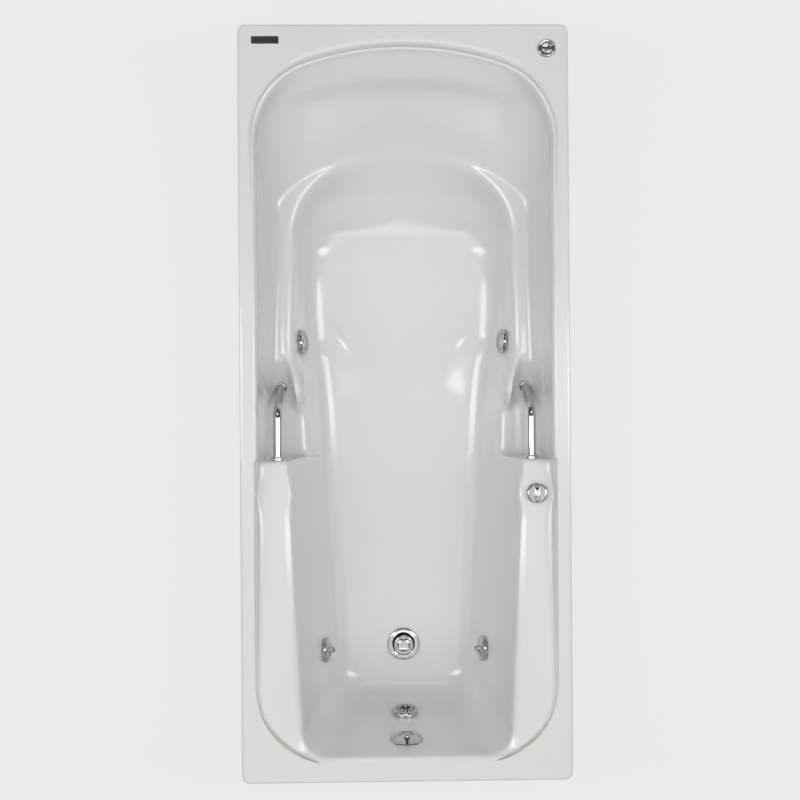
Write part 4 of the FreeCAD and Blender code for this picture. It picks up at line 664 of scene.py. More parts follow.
def ring_section(profile, radius, count=4):
    """A closed section with its corners bent round, which begins halfway along its last side."""
    start = (Vector(profile[0]) + Vector(profile[-1])) / 2
    return soften([start] + profile + [start], radius, count)[:-1]


def lathe(bm, profile, place=Matrix.Identity(4), turns=80, closed=False):
    """Adds a solid turned about the place's Z from (radius, height) points."""
    rings = []
    for radius, height in profile:
        if radius < 1e-7:
            rings.append([bm.verts.new(place @ Vector((0.0, 0.0, height)))])
            continue
        ring = []
        for k in range(turns):
            angle = 2 * math.pi * k / turns
            ring.append(bm.verts.new(place @ Vector((radius * math.cos(angle), radius * math.sin(angle),
                                                     height))))
        rings.append(ring)
    pairs = list(zip(rings, rings[1:]))
    if closed:
        pairs.append((rings[-1], rings[0]))
    for ring, following in pairs:
        for k in range(turns):
            corners = []
            for owner, index in ((ring, k), (ring, k + 1), (following, k + 1), (following, k)):
                vertex = owner[index % len(owner)]
                if vertex not in corners:
                    corners.append(vertex)
            if len(corners) > 2:
                bm.faces.new(corners)


def cut(piece, cutters):
    """Cuts closed meshes out of a piece and applies the result."""
    tool = bpy.data.objects.new("cutter", cutters)
    bpy.context.scene.collection.objects.link(tool)
    modifier = piece.modifiers.new("cut", "BOOLEAN")
    modifier.operation = "DIFFERENCE"
    modifier.solver = "EXACT"
    modifier.object = tool
    apply_modifiers(piece)
    bpy.data.objects.remove(tool)


def apply_modifiers(piece):
    evaluated = piece.evaluated_get(bpy.context.evaluated_depsgraph_get())
    mesh = bpy.data.meshes.new_from_object(evaluated)
    piece.modifiers.clear()
    piece.data = mesh


def cylinder(bm, place, radius, low, high, turns=64):
    lathe(bm, [(0.0, low), (radius, low), (radius, high), (0.0, high)], place, turns)


# ---------------------------------------------------------------- shape of the seat and floor
seat_dish = 0.009
seat_rear_y = from_head(0.555)
seat_front_y = from_head(0.80)
seat_front_run = 0.07        # the raised rim of the seat begins over this length
seat_rear_run = 0.08
seat_rear_share = 0.6        # part of the rim that is gone behind the seat
bucket_edge = [(from_head(0.79), 0.141), (from_head(0.667), 0.187), (from_head(0.56), 0.205)]
bucket_soft = (0.016, 0.045) # width of the rim's slope at the front and at the rear
bucket_soft_run = 0.16
thigh_hump = 0.006
hump_y = from_head(0.868)
hump_half = 0.075
hump_side = (0.19, 0.09)     # half width where the hump ends, and over what it fades


def floor_change(x, y):
    """Height that the seat's raised sides and the hump before it add to the flat floor."""
    along = ease((y - seat_front_y) / seat_front_run)
    along *= 1.0 - seat_rear_share * ease((y - seat_rear_y) / seat_rear_run)
    soft = mix(*bucket_soft, ease((y - bucket_edge[0][0]) / bucket_soft_run))
    across = ease((law(bucket_edge, y) - abs(x)) / soft + 0.5)
    rim = seat_dish * along * (1.0 - across)
    end, fade = hump_side
    hump = thigh_hump * math.exp(-((y - hump_y) / hump_half) ** 2) * ease((end - abs(x)) / fade)
    return hump + rim


# ---------------------------------------------------------------- bath shell
def mirror_half(half):
    """The closed loop of a half line: the left side is the right one mirrored."""
    left = [Vector((-point.x, point.y, point.z)) for point in reversed(half[1:-1])]
    return half + left


def catmull_rom(p0, p1, p2, p3, t):
    """Centripetal curve from p1 to p2, which doesn't overshoot uneven points."""
    t0 = 0.0
    t1 = t0 + max((p1 - p0).length, 1e-6) ** 0.5
    t2 = t1 + max((p2 - p1).length, 1e-6) ** 0.5
    t3 = t2 + max((p3 - p2).length, 1e-6) ** 0.5
    at = mix(t1, t2, t)
    a1 = p0.lerp(p1, (at - t0) / (t1 - t0))
    a2 = p1.lerp(p2, (at - t1) / (t2 - t1))
    a3 = p2.lerp(p3, (at - t2) / (t3 - t2))
    b1 = a1.lerp(a2, (at - t0) / (t2 - t0))
    b2 = a2.lerp(a3, (at - t1) / (t3 - t1))
    return b1.lerp(b2, (at - t1) / (t2 - t1))


def spine_point(point):
    """The floor's middle line, where the rows of the floor end."""
    y = min(max(point.y, drain_y - 0.02), from_head(0.53))
    return Vector((0.0, y, deck - floor_depth(y)))


ridge_power = 4.2            # the ridge steepens towards its crest
ridge_rows = 12
headrest_line = 4            # line of the headrest's lower edge; the rows below it are finer
finer_rows = 0.6
most_rows = 26
relief_fade = 0.055          # the seat's relief fades up the wall over this height
crease_depth = 0.045         # lower edge of the headrest
crease_step = 0.016          # the back lies this much lower just below it
crease_fall = 0.022          # height over which it falls away
crease_return = (0.020, 0.09)    # depth below the edge where it starts to come back, and over what
crease_start_y = 0.56        # the crease begins here, over the next stretch
crease_run = 0.08
crease_half = 0.285          # and it ends at this half width
crease_side = 0.05
leaf_window_x = (0.26, 0.36)     # where the armrest's end is hollowed, on both sides
leaf_window_y = (-0.03, 0.13)
leaf_middle = 0.302          # middle of the hollow on X
leaf_inner = (0.019, 0.045)  # half width of the hollow's tip, and how far its edge trails there
leaf_outer = (0.030, 0.030)
leaf_fade_in = (0.10, 0.05)  # depth where the wall starts to follow the hollow, and over what
leaf_fade_out = (0.004, 0.07)
flat_radius = 0.036          # the wall is flat this far round each fitting
flat_fade = 0.036            # and comes back to its own shape over this width
flat_off_plane = 0.03        # points further from the fitting's plane are left alone


def basin_rows():
    """Half lines from the deck, over the lip and down to the floor's middle line."""
    lines = [line.half() for line in basin_lines]
    lines[-1] = [Vector((p.x, p.y, deck - floor_depth(p.y))) for p in lines[-1]]
    columns = len(lines[0])
    rows = []
    for k in range(ridge_rows):
        share = 1.0 - (1.0 - k / ridge_rows) ** 1.6
        row = []
        for foot, crest in zip(lines[0], lines[1]):
            point = foot.lerp(crest, share)
            point.z = foot.z + (crest.z - foot.z) * share ** ridge_power
            row.append(point)
        rows.append(row)
    above = []
    for crest, roll in zip(lines[1], lines[2]):
        phantom = crest * 2 - roll
        phantom.z = roll.z
        above.append(phantom)
    below = []
    for wall, edge in zip(lines[-2], lines[-1]):
        inward = spine_point(edge) - edge
        below.append(edge + inward.normalized() * (edge - wall).length)
    chain = [above] + lines[1:] + [below]
    for j in range(1, len(chain) - 2):
        longest = max((chain[j + 1][i] - chain[j][i]).length for i in range(columns))
        wanted = row_length * (finer_rows if j == headrest_line else 1.0)
        count = min(most_rows, max(3, round(longest / wanted)))
        for k in range(count):
            rows.append([catmull_rom(chain[j - 1][i], chain[j][i], chain[j + 1][i], chain[j + 2][i],
                                     k / count) for i in range(columns)])
    for k in range(floor_rows + 1):
        rows.append([edge.lerp(spine_point(edge), k / floor_rows) for edge in lines[-1]])
    return rows


def crease_lift(point, depth):
    """The back falls away just below the headrest, and comes back lower down."""
    below = depth - crease_depth
    back, run = crease_return
    band = min(1.0, max(0.0, below / crease_fall)) * (1.0 - ease((below - back) / run))
    along = ease((point.y - crease_start_y) / crease_run)
    return -crease_step * band * along * ease((crease_half - abs(point.x)) / crease_side)


def leaf_lift(point, depth):
    """The armrest's end is a leaf-shaped hollow: its slope starts later away from the middle."""
    x_from, x_to = leaf_window_x
    y_from, y_to = leaf_window_y
    if not (x_from < abs(point.x) < x_to and y_from < point.y < y_to):
        return 0.0
    off = abs(point.x) - leaf_middle
    width, trail = leaf_inner if off < 0.0 else leaf_outer
    here = ledge_head_depth(point.y)
    lift = here - ledge_head_depth(point.y + trail * min(2.0, (off / width) ** 2))
    fade = ease((depth - leaf_fade_in[0]) / leaf_fade_in[1])
    fade *= 1.0 - ease((depth - here - leaf_fade_out[0]) / leaf_fade_out[1])
    return lift * fade * ease((point.y - y_from) / 0.04)


def shaped(point):
    """A basin point with the seat's relief, the headrest's crease and the armrest's hollow end."""
    depth = deck - point.z
    height = floor_depth(point.y) - depth
    change = floor_change(point.x, point.y) * (1.0 - ease(height / relief_fade))
    change += crease_lift(point, depth) + leaf_lift(point, depth)
    return point + Vector((0.0, 0.0, change))


flat_places = list(jet_places.values()) + [overflow_place, suction_place, knob_place]


def flattened(point):
    """Moulded flats: near each fitting the wall lies in the fitting's plane."""
    for place in flat_places:
        local = place.inverted() @ point
        reach = math.hypot(local.x, local.y)
        if reach < flat_radius + flat_fade and abs(local.z) < flat_off_plane:
            local.z *= ease((reach - flat_radius) / flat_fade)
            return place @ local
    return point


def rim_points(inset, depth):
    """The rim's rounded rectangle, inset from the outer edge, from the foot middle round to itself."""
    radius = rim_corner_radius - inset * 0.5
    x = half_width - inset
    y = half_length - inset
    quarter = []
    for k in range(corner_steps + 1):
        angle = math.pi / 2 * k / corner_steps
        quarter.append((x - radius + radius * math.sin(angle), y - radius + radius * math.cos(angle)))
    half = [(0.0, -y)] + [(px, -py) for px, py in quarter]
    half += [(px, py) for px, py in reversed(quarter)] + [(0.0, y)]
    return mirror_half([Vector((px, py, deck - depth)) for px, py in half])


def add_rows(bm, loops):
    """Quads between closed loops of as many points; returns the vertices of each loop."""
    rings = [[bm.verts.new(point) for point in loop] for loop in loops]
    for ring, following in zip(rings, rings[1:]):
        for k in range(len(ring)):
            after = (k + 1) % len(ring)
            bm.faces.new((ring[k], ring[after], following[after], following[k]))
    return rings


def edges_round(bm, ring):
    return [bm.edges.get((a, b)) for a, b in zip(ring, ring[1:] + ring[:1])]


def rim_loops():
    """Rim from the flat deck over its rounded edge down to the end of the skirt."""
    loops = [rim_points(rim_edge_radius + 0.0015, 0.0)]
    for k in range(6):
        angle = math.pi / 2 * k / 5
        inset = rim_edge_radius * (1 - math.sin(angle))
        loops.append(rim_points(inset, rim_edge_radius * (1 - math.cos(angle))))
    for depth in steps(rim_edge_radius + 0.007, skirt_depth, 3) + [skirt_depth]:
        loops.append(rim_points(0.0, depth))
    return loops


wall_hole = 0.0245           # radii of the holes through the shell
overflow_hole = 0.021
knob_hole = 0.017
button_hole = 0.0185


def hole_cutters():
    """Closed cylinders for all the holes through the shell."""
    bm = bmesh.new()
    holes = [(place, wall_hole, 0.04) for place in list(jet_places.values()) + [suction_place]]
    holes += [(overflow_place, overflow_hole, 0.04), (drain_place, wall_hole, 0.03),
              (knob_place, knob_hole, 0.03), (button_place, button_hole, 0.02)]
    for place, radius, reach in holes:
        cylinder(bm, place, radius, -reach, reach)
    for side in (-1.0, 1.0):
        start = (side * grab_bar_x, notch_foot_end, grab_bar_height)
        end = (side * bar_foot.x, bar_foot.y, bar_foot.z)
        for place in (place_at(start, (0.0, 1.0, 0.0), (0.0, 0.0, 1.0)), place_at(end, bar_down * -1.0)):
            cylinder(bm, place, grab_bar_radius + 0.0005, -0.03, 0.02)
    return mesh_from(bm, "shell_holes")


margin_width = 0.0015        # flat strip of the deck round the basin, which keeps the ridge's edge crisp
margin_centre_y = 0.5


def make_shell():
    rows = [[flattened(shaped(point)) for point in row] for row in basin_rows()]
    margin = []
    for point in rows[0]:
        outward = Vector((point.x, point.y - min(max(point.y, -margin_centre_y), margin_centre_y), 0.0))
        margin.append(point + outward.normalized() * margin_width)
    bm = bmesh.new()
    rim = add_rows(bm, rim_loops())
    basin = add_rows(bm, [mirror_half(row) for row in [margin] + rows])
    bmesh.ops.triangle_fill(bm, use_beauty=True, edges=edges_round(bm, rim[0]) + edges_round(bm, basin[0]))
    bmesh.ops.remove_doubles(bm, verts=basin[-1], dist=1e-5)
    mesh = mesh_from(bm, "shell_skin")
    top = max(mesh.polygons, key=lambda face: face.area)
    if top.normal.z < 0:
        mesh.flip_normals()
    mesh.materials.append(finishes["acrylic"])
    mesh.materials.append(backing)
    shell = add_piece("shell_skin", mesh, "acrylic", replaced=["bath_shell"])
    wall = shell.modifiers.new("wall", "SOLIDIFY")
    wall.thickness = shell_thickness
    wall.offset = -1.0
    wall.material_offset = 1
    wall.material_offset_rim = 0
    wall.use_even_offset = False
    apply_modifiers(shell)
    cut(shell, hole_cutters())
    shell.data.shade_smooth()
    shell.data.set_sharp_from_angle(angle=math.radians(42.0))
    return shell


make_shell()

# ---------------------------------------------------------------- fittings
MM = Matrix.Scale(0.001, 4)      # profiles of the fittings are written in millimetres
flange_base = 3.0                # underside of the drain's flange above the floor
suction_front = 6.0              # faces of the wall fittings in front of the wall
jet_front = 6.3


def add_block(bm, low, high, place, radius=0.4, count=3):
    """Adds a block with rounded edges; sizes in millimetres."""
    temporary = bmesh.new()
    bmesh.ops.create_cube(temporary, size=1.0)
    size = Vector(high) - Vector(low)
    middle = (Vector(high) + Vector(low)) / 2
    for vertex in temporary.verts:
        vertex.co = Vector(a * b for a, b in zip(vertex.co, size)) + middle
    bmesh.ops.bevel(temporary, geom=temporary.edges[:], offset=radius, segments=count, profile=0.5,
                    affect="EDGES")
    temporary.transform(place)
    add_mesh(bm, temporary)


def add_mesh(bm, temporary):
    mesh = bpy.data.meshes.new("temporary")
    temporary.to_mesh(mesh)
    temporary.free()
    bm.from_mesh(mesh)
    bpy.data.meshes.remove(mesh)


def add_sweep(bm, path, radii, turns=32):
    """Adds a closed round bar along the path, with a radius for each of its points."""
    side = None
    rings = []
    for k, point in enumerate(path):
        along = (path[min(k + 1, len(path) - 1)] - path[max(k - 1, 0)]).normalized()
        if side is None:
            side = along.cross(Vector((0.0, 0.0, 1.0)) if abs(along.z) < 0.9 else Vector((1.0, 0.0, 0.0)))
        side = (side - along * side.dot(along)).normalized()
        up = along.cross(side)
        rings.append([bm.verts.new(point + (side * math.cos(2 * math.pi * i / turns)
                                            + up * math.sin(2 * math.pi * i / turns)) * radii[k])
                      for i in range(turns)])
    for ring, following in zip(rings, rings[1:]):
        for i in range(turns):
            after = (i + 1) % turns
            bm.faces.new((ring[i], ring[after], following[after], following[i]))
    bm.faces.new(rings[0])
    bm.faces.new(rings[-1])


def round_path(start, corner, end, radius, count=24):
    """Points of two straight runs joined by an arc."""
    back = (start - corner).normalized()
    ahead = (end - corner).normalized()
    half = back.angle(ahead) / 2
    reach = radius / math.tan(half)
    centre = corner + (back + ahead).normalized() * (radius / math.sin(half))
    first = corner + back * reach - centre
    turn = math.pi - 2 * half
    axis = first.cross(corner + ahead * reach - centre).normalized()
    arc = [centre + Matrix.Rotation(turn * k / count, 3, axis) @ first for k in range(count + 1)]
    return ([start.lerp(arc[0], k / 10) for k in range(10)] + arc
            + [arc[-1].lerp(end, k / 8) for k in range(1, 9)])


def finish_bm(bm, name, slot, body="bath", replaced=(), smooth_angle=38.0):
    return add_piece(name, mesh_from(bm, name), slot, body, replaced, smooth_angle)


def turned_skin(name, profile, place, turns, closed, slot, body="bath", replaced=()):
    """One piece turned about the place's Z."""
    bm = bmesh.new()
    lathe(bm, profile, place, turns, closed)
    return finish_bm(bm, name, slot, body, replaced)


def ring_of_cutters(profile, place, count, radius, start=0.0, stretch=1.0):
    """Closed cutters set round a circle, each stretched along the circle's radius."""
    bm = bmesh.new()
    for k in range(count):
        turn = Matrix.Rotation(math.radians(start) + 2 * math.pi * k / count, 4, "Z")
        spot = place @ MM @ turn @ Matrix.Translation((radius, 0.0, 0.0))
        lathe(bm, profile, spot @ Matrix.Diagonal((stretch, 1.0, 1.0, 1.0)), 32)
    return mesh_from(bm, "cutters")


def make_drain():
    r = 43.5
    base = flange_base
    place = drain_place @ MM
    bm = bmesh.new()
    profile = [(20.5, -40.0), (24.0, -40.0), (24.0, base), (r, base), (r, base + 0.8), (r - 2.5, base + 2.8),
               (r - 7.0, base + 3.6), (29.0, base + 2.2), (27.0, base + 0.9), (24.4, base + 0.35),
               (20.5, base - 1.2)]
    lathe(bm, ring_section(profile, 0.9), place, 96, True)
    lathe(bm, [(4.3, -18.0), (7.0, -18.0), (7.0, -13.0), (4.3, -13.0)], place, 40, True)
    for side in (-1.0, 1.0):
        low, high = sorted((side * 6.8, side * 20.8))
        add_block(bm, (low, -1.25, -18.0), (high, 1.25, -13.0), place)
        add_block(bm, (-1.25, low, -18.0), (1.25, high, -13.0), place)
    finish_bm(bm, "drain_flange_skin", slot_of["drain_flange"], replaced=["drain_flange"])
    low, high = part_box("drain_stopper")
    seat = (high.z - drain_face) * 1000 - 10.2
    tip = (low.z - drain_face) * 1000 + 4.0
    dome = [(20.3 * math.cos(a), seat + 5.0 + 5.2 * math.sin(a)) for a in
            (math.pi / 2 * k / 14 for k in range(14))]
    profile = [(0.0, tip - 4.0), (2.6, tip - 3.2), (4.0, tip - 0.6), (4.0, seat - 1.0), (21.0, seat),
               (25.0, seat + 0.2), (26.0, seat + 1.2), (26.0, seat + 3.4), (23.5, seat + 4.8)]
    profile = soften(profile + [(20.9, seat + 4.9)], 0.8) + dome + [(0.0, seat + 10.2)]
    turned_skin("drain_stopper_skin", profile, place, 80, False, slot_of["drain_stopper"], "drain_stopper",
                ["drain_stopper"])
    ring = [(22.6 + 1.1 * math.cos(a), seat - 0.05 + 0.75 * math.sin(a)) for a in
            (2 * math.pi * k / 16 for k in range(16))]
    turned_skin("drain_stopper_seal", ring, place, 64, True, "seal", "drain_stopper")


def make_overflow():
    place = overflow_place @ MM
    r = 40.0
    profile = [(0.0, 7.0), (r * 0.55, 6.2), (r - 4.0, 3.2), (r - 1.6, 0.5), (r, 0.5), (r, 2.6),
               (r - 3.0, 5.2), (r * 0.55, 8.4), (0.0, 9.2)]
    plate = turned_skin("overflow_plate_skin", soften(profile, 2.2, 6), place, 96, False,
                        slot_of["overflow_plate"], replaced=["overflow_plate"])
    tools = bmesh.new()
    add_block(tools, (-4.0, -16.0, -1.0), (4.0, 14.0, 20.0), place, 2.5, 5)
    for x in (-26.0, 26.0):
        lathe(tools, [(0.0, -2.0), (2.4, -2.0), (2.4, 5.7), (4.6, 5.7), (4.6, 12.0), (0.0, 12.0)],
              place @ Matrix.Translation((x, 0.0, 0.0)), 32)
    cut(plate, mesh_from(tools, "slot"))
    bm = bmesh.new()
    for side in (-1.0, 1.0):
        low, high = sorted((side * 5.3, side * 7.8))
        add_block(bm, (low, -6.0, -17.0), (high, 6.0, 6.4), place, 0.5)
    finish_bm(bm, "lever_ears", slot_of["overflow_plate"])
    bm = bmesh.new()
    for x in (-26.0, 26.0):
        head = [(0.0, 5.9), (4.1, 5.9), (4.1, 7.6), (2.4, 9.0), (0.0, 9.3)]
        lathe(bm, soften(head, 0.6), place @ Matrix.Translation((x, 0.0, 0.0)), 40)
        lathe(bm, [(0.0, -20.0), (2.0, -20.0), (2.0, 6.2), (0.0, 6.2)],
              place @ Matrix.Translation((x, 0.0, 0.0)), 24)
    screws = finish_bm(bm, "overflow_screw_heads", slot_of["overflow_screws"], replaced=["overflow_screws"])
    tools = bmesh.new()
    for x, turn in ((-26.0, 20.0), (26.0, 65.0)):
        spot = place @ Matrix.Translation((x, 0.0, 0.0)) @ Matrix.Rotation(math.radians(turn), 4, "Z")
        add_block(tools, (-2.2, -0.45, 7.8), (2.2, 0.45, 12.0), spot, 0.1, 1)
        add_block(tools, (-0.45, -2.2, 7.8), (0.45, 2.2, 12.0), spot, 0.1, 1)
    cut(screws, mesh_from(tools, "cross"))


def make_lever():
    """Pin, back arm and a handle that swells to a ball at its tip."""
    low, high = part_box("trip_lever")
    half_throw = math.radians(9.0)
    forward = Vector((0.0, math.cos(half_throw), math.sin(half_throw)))
    knee = lever_pivot + forward * 0.026
    tip = knee + Vector((0.0, 0.005, 0.038))
    across = Vector((1.0, 0.0, 0.0))
    pin_back = Vector((0.0, low.y + 0.0016, low.z + 0.0016))
    path = []
    radii = []
    for k in range(9):
        path.append(pin_back.lerp(lever_pivot, k / 9))
        radii.append(0.002 + 0.001 * ease((k - 6) / 3))
    reach = 0.010
    bend_in = knee - forward * reach
    bend_out = knee + (tip - knee).normalized() * reach
    for k in range(6):
        path.append(lever_pivot.lerp(bend_in, k / 6))
        radii.append(0.003 + 0.0004 * k / 6)
    for k in range(13):
        t = k / 12
        path.append(bend_in.lerp(knee, t).lerp(knee.lerp(bend_out, t), t))
        radii.append(mix(0.0034, 0.0044, t))
    for k in range(1, 12):
        path.append(bend_out.lerp(tip, k / 12))
        radii.append(mix(0.0044, 0.0052, k / 12))
    along = (tip - knee).normalized()
    for k in range(9):
        angle = math.pi / 2 * k / 8.4
        path.append(tip + along * 0.0052 * math.sin(angle))
        radii.append(0.0052 * math.cos(angle))
    bm = bmesh.new()
    add_sweep(bm, path, radii, 32)
    add_sweep(bm, [lever_pivot - across * 0.0078, lever_pivot + across * 0.0078], [0.0016, 0.0016], 24)
    add_sweep(bm, [lever_pivot - across * 0.005, lever_pivot - across * 0.0046, lever_pivot + across * 0.0046,
                   lever_pivot + across * 0.005], [0.0036, 0.004, 0.004, 0.0036], 32)
    add_sweep(bm, [pin_back - across * 0.004, pin_back + across * 0.004], [0.0016, 0.0016], 24)
    finish_bm(bm, "trip_lever_skin", slot_of["trip_lever"], "trip_lever", ["trip_lever"])


def make_suction():
    place = suction_place @ MM
    front = suction_front
    face = 33.0
    outer = [(12.6, front + 5.4), (face * 0.55, front + 7.6), (face - 3.0, front + 3.0),
             (face - 2.2, front + 0.3), (face + 1.0, front + 0.3), (face + 0.6, front + 3.4),
             (face - 2.5, front + 7.0), (face * 0.55, front + 11.0), (14.0, front + 11.4),
             (12.6, front + 10.6)]
    cover = turned_skin("suction_cover_ring", ring_section(outer, 1.4, 5), place, 96, True,
                        slot_of["suction_cover"], replaced=["suction_cover"])
    hole = [(0.0, front + 1.0), (2.6, front + 1.0), (2.6, front + 20.0), (0.0, front + 20.0)]
    cut(cover, ring_of_cutters(hole, suction_place, 14, face * 0.66, 0.0, 1.25))
    insert = [(4.1, front), (5.6, front), (5.6, front + 5.4), (12.4, front + 6.2), (12.4, front + 10.2),
              (11.2, front + 11.0), (4.1, front + 11.2)]
    grille = turned_skin("suction_cover_grille", ring_section(insert, 0.7), place, 64, True,
                         "black_plastic")
    hole = [(0.0, front + 2.0), (1.15, front + 2.0), (1.15, front + 20.0), (0.0, front + 20.0)]
    cut(grille, ring_of_cutters(hole, suction_place, 10, 8.6, 0.0, 2.3))


def make_jets():
    front = jet_front
    rim = 33.0
    bore = 20.7
    centre = front + 1.0
    neck = 14.0 * 0.78
    rise = math.sqrt(14.3 ** 2 - neck ** 2)
    for name, spot in jet_places.items():
        place = spot @ MM
        trim = "jet_trim_" + name
        rotor = name.startswith("upper")
        if rotor:
            profile = [(bore, front), (bore, -12.0), (bore - 2.0, -12.0), (bore - 2.0, front + 1.0),
                       (rim - 8.0, front + 5.0), (rim - 3.0, front + 4.2), (rim, front)]
            bm = bmesh.new()
            lathe(bm, ring_section(profile, 1.3, 5), place, 96, True)
            lathe(bm, [(3.3, -9.0), (8.0, -9.0), (8.0, front - 3.8), (3.3, front - 3.8)], place, 40, True)
            for turn in (30.0, 150.0, 270.0):
                spoke = place @ Matrix.Rotation(math.radians(turn), 4, "Z")
                add_block(bm, (7.8, -1.2, -9.0), (19.2, 1.2, -5.0), spoke)
        else:
            cup = []
            for k in range(9):
                height = mix(-7.0, rise, k / 8)
                cup.append((math.sqrt(14.3 ** 2 - height ** 2), centre + height))
            profile = ([(bore, front), (bore, -12.0), (bore - 2.0, -12.0), (bore - 2.0, centre - 7.0)] + cup
                       + [(neck + 3.0, centre + rise), (rim - 8.0, front + 5.0), (rim - 3.0, front + 4.2),
                          (rim, front)])
            bm = bmesh.new()
            lathe(bm, ring_section(profile, 1.3, 5), place, 96, True)
        finish_bm(bm, trim + "_skin", slot_of[trim], trim, [trim])
        if rotor:
            node = "jet_rotor_" + name
            r = 18.4
            profile = [(0.0, front - 12.0), (3.0, front - 12.0), (3.0, front - 3.0), (r, front - 3.0),
                       (r, front + 0.5), (r - 4.0, front + 3.6), (6.0, front + 5.2), (0.0, front + 5.4)]
            piece = turned_skin(node + "_skin", soften(profile, 1.2, 5), place, 80, False,
                                slot_of[node], node, [node])
            hole = [(0.0, front - 5.0), (3.9, front - 5.0), (3.9, front + 1.0), (5.2, front + 10.0),
                    (0.0, front + 10.0)]
            cut(piece, ring_of_cutters(hole, spot, 3, r * 0.58, 30.0, 1.18))
            piece.data.shade_smooth()
            piece.data.set_sharp_from_angle(angle=math.radians(38.0))
        else:
            node = "jet_nozzle_" + name
            tilt = math.radians(15.0)
            snout = (neck - 0.6 - rise * math.tan(tilt)) * math.cos(tilt)
            start = math.asin(snout / 14.0)
            shell_arc = [(14.0 * math.sin(a), centre + 14.0 * math.cos(a)) for a in
                         (mix(math.radians(140.0), start, k / 20) for k in range(21))]
            end = centre + 18.4
            profile = ([(5.0, centre - 9.0), (14.0 * math.sin(math.radians(140.0)) - 0.4, centre - 10.2)]
                       + shell_arc + [(snout, end - 1.4), (snout - 1.4, end), (5.8, end), (5.0, end - 1.0)])
            turned_skin(node + "_skin", profile, place, 72, True, slot_of[node], node, [node])


def make_knob():
    """Round base with a tall rounded grip across it."""
    place = knob_place @ MM
    base = 5.3
    r = 24.5
    bm = bmesh.new()
    profile = [(0.0, base), (r, base), (r, base + 3.6), (r - 2.4, base + 5.8), (0.0, base + 6.4)]
    lathe(bm, soften(profile, 1.6, 6), place, 96)
    lathe(bm, [(0.0, -12.0), (13.2, -12.0), (13.2, base + 1.0), (0.0, base + 1.0)], place, 48)
    rows = 25
    arch = 16
    loops = []
    for k in range(rows):
        t = mix(-1.0, 1.0, k / (rows - 1))
        y = 23.4 * math.sin(t * math.pi / 2)
        share = abs(math.sin(t * math.pi / 2))
        half = mix(6.4, 4.2, share ** 1.5) * math.sqrt(max(0.0, 1.0 - share ** 10))
        height = 15.0 * (1.0 - 0.32 * share ** 3) * (1.0 - 0.6 * share ** 14)
        loop = []
        for i in range(arch + 1):
            angle = math.pi * i / arch
            flat = abs(math.cos(angle)) ** 0.55 * (1 if math.cos(angle) > 0 else -1)
            loop.append(Vector((half * flat, y, base + 3.0 + (height - 3.0) * math.sin(angle) ** 0.45)))
        loops.append([bm.verts.new(place @ point) for point in loop])
    for row, following in zip(loops, loops[1:]):
        for i in range(arch):
            bm.faces.new((row[i], row[i + 1], following[i + 1], following[i]))
        bm.faces.new((row[arch], row[0], following[0], following[arch]))
    for row in (loops[0], loops[-1]):
        bm.faces.new(row)
    bmesh.ops.remove_doubles(bm, verts=bm.verts[:], dist=1e-6)
    finish_bm(bm, "air_knob_skin", slot_of["air_control_knob"], "air_control_knob", ["air_control_knob"])


def make_button():
    place = button_place @ MM
    bore = 15.0
    rim = 22.0
    profile = [(bore, 0.8), (rim, 0.8), (rim, 2.6), (rim - 2.2, 5.4), (bore + 1.6, 5.8), (bore, 4.8)]
    turned_skin("button_bezel_skin", ring_section(profile, 1.0, 5), place, 96, True,
                slot_of["air_button_bezel"], replaced=["air_button_bezel"])
    r = 13.7
    top = 8.0
    profile = [(0.0, -8.0), (r, -8.0), (r, top - 3.0), (r - 1.6, top - 0.8), (r - 3.2, top - 0.5),
               (r - 3.8, top - 1.0), (r - 5.0, top - 1.0), (r - 5.6, top + 0.3), (0.0, top + 1.2)]
    turned_skin("air_button_skin", soften(profile, 0.8, 5), place, 80, False, slot_of["air_button"],
                "air_button", ["air_button"])


def make_bars():
    start = Vector((grab_bar_x, notch_foot_end - shell_thickness - bar_behind, grab_bar_height))
    end = bar_foot + bar_down * (shell_thickness + bar_behind)
    path = round_path(start, bar_corner, end, grab_bar_bend, 28)
    collar = ring_section([(10.6, -5.0), (15.5, -5.0), (15.5, 3.5), (13.5, 6.0), (10.6, 6.5)], 1.2, 5)
    collars = bmesh.new()
    for name, side in (("left", -1.0), ("right", 1.0)):
        bm = bmesh.new()
        route = [Vector((side * point.x, point.y, point.z)) for point in path]
        add_sweep(bm, route, [grab_bar_radius] * len(route), 48)
        finish_bm(bm, "grab_bar_" + name + "_skin", "chrome", replaced=["grab_bar_" + name])
        for origin, axis in ((Vector((side * grab_bar_x, notch_foot_end, grab_bar_height)), (0.0, 1.0, 0.0)),
                             (Vector((side * bar_foot.x, bar_foot.y, bar_foot.z)), bar_down * -1.0)):
            place = place_at(origin, axis, (0.0, 0.3, 1.0)) @ MM
            lathe(collars, collar, place, 64, True)
    finish_bm(collars, "grab_bar_collar_skins", "chrome", replaced=["grab_bar_collars"])


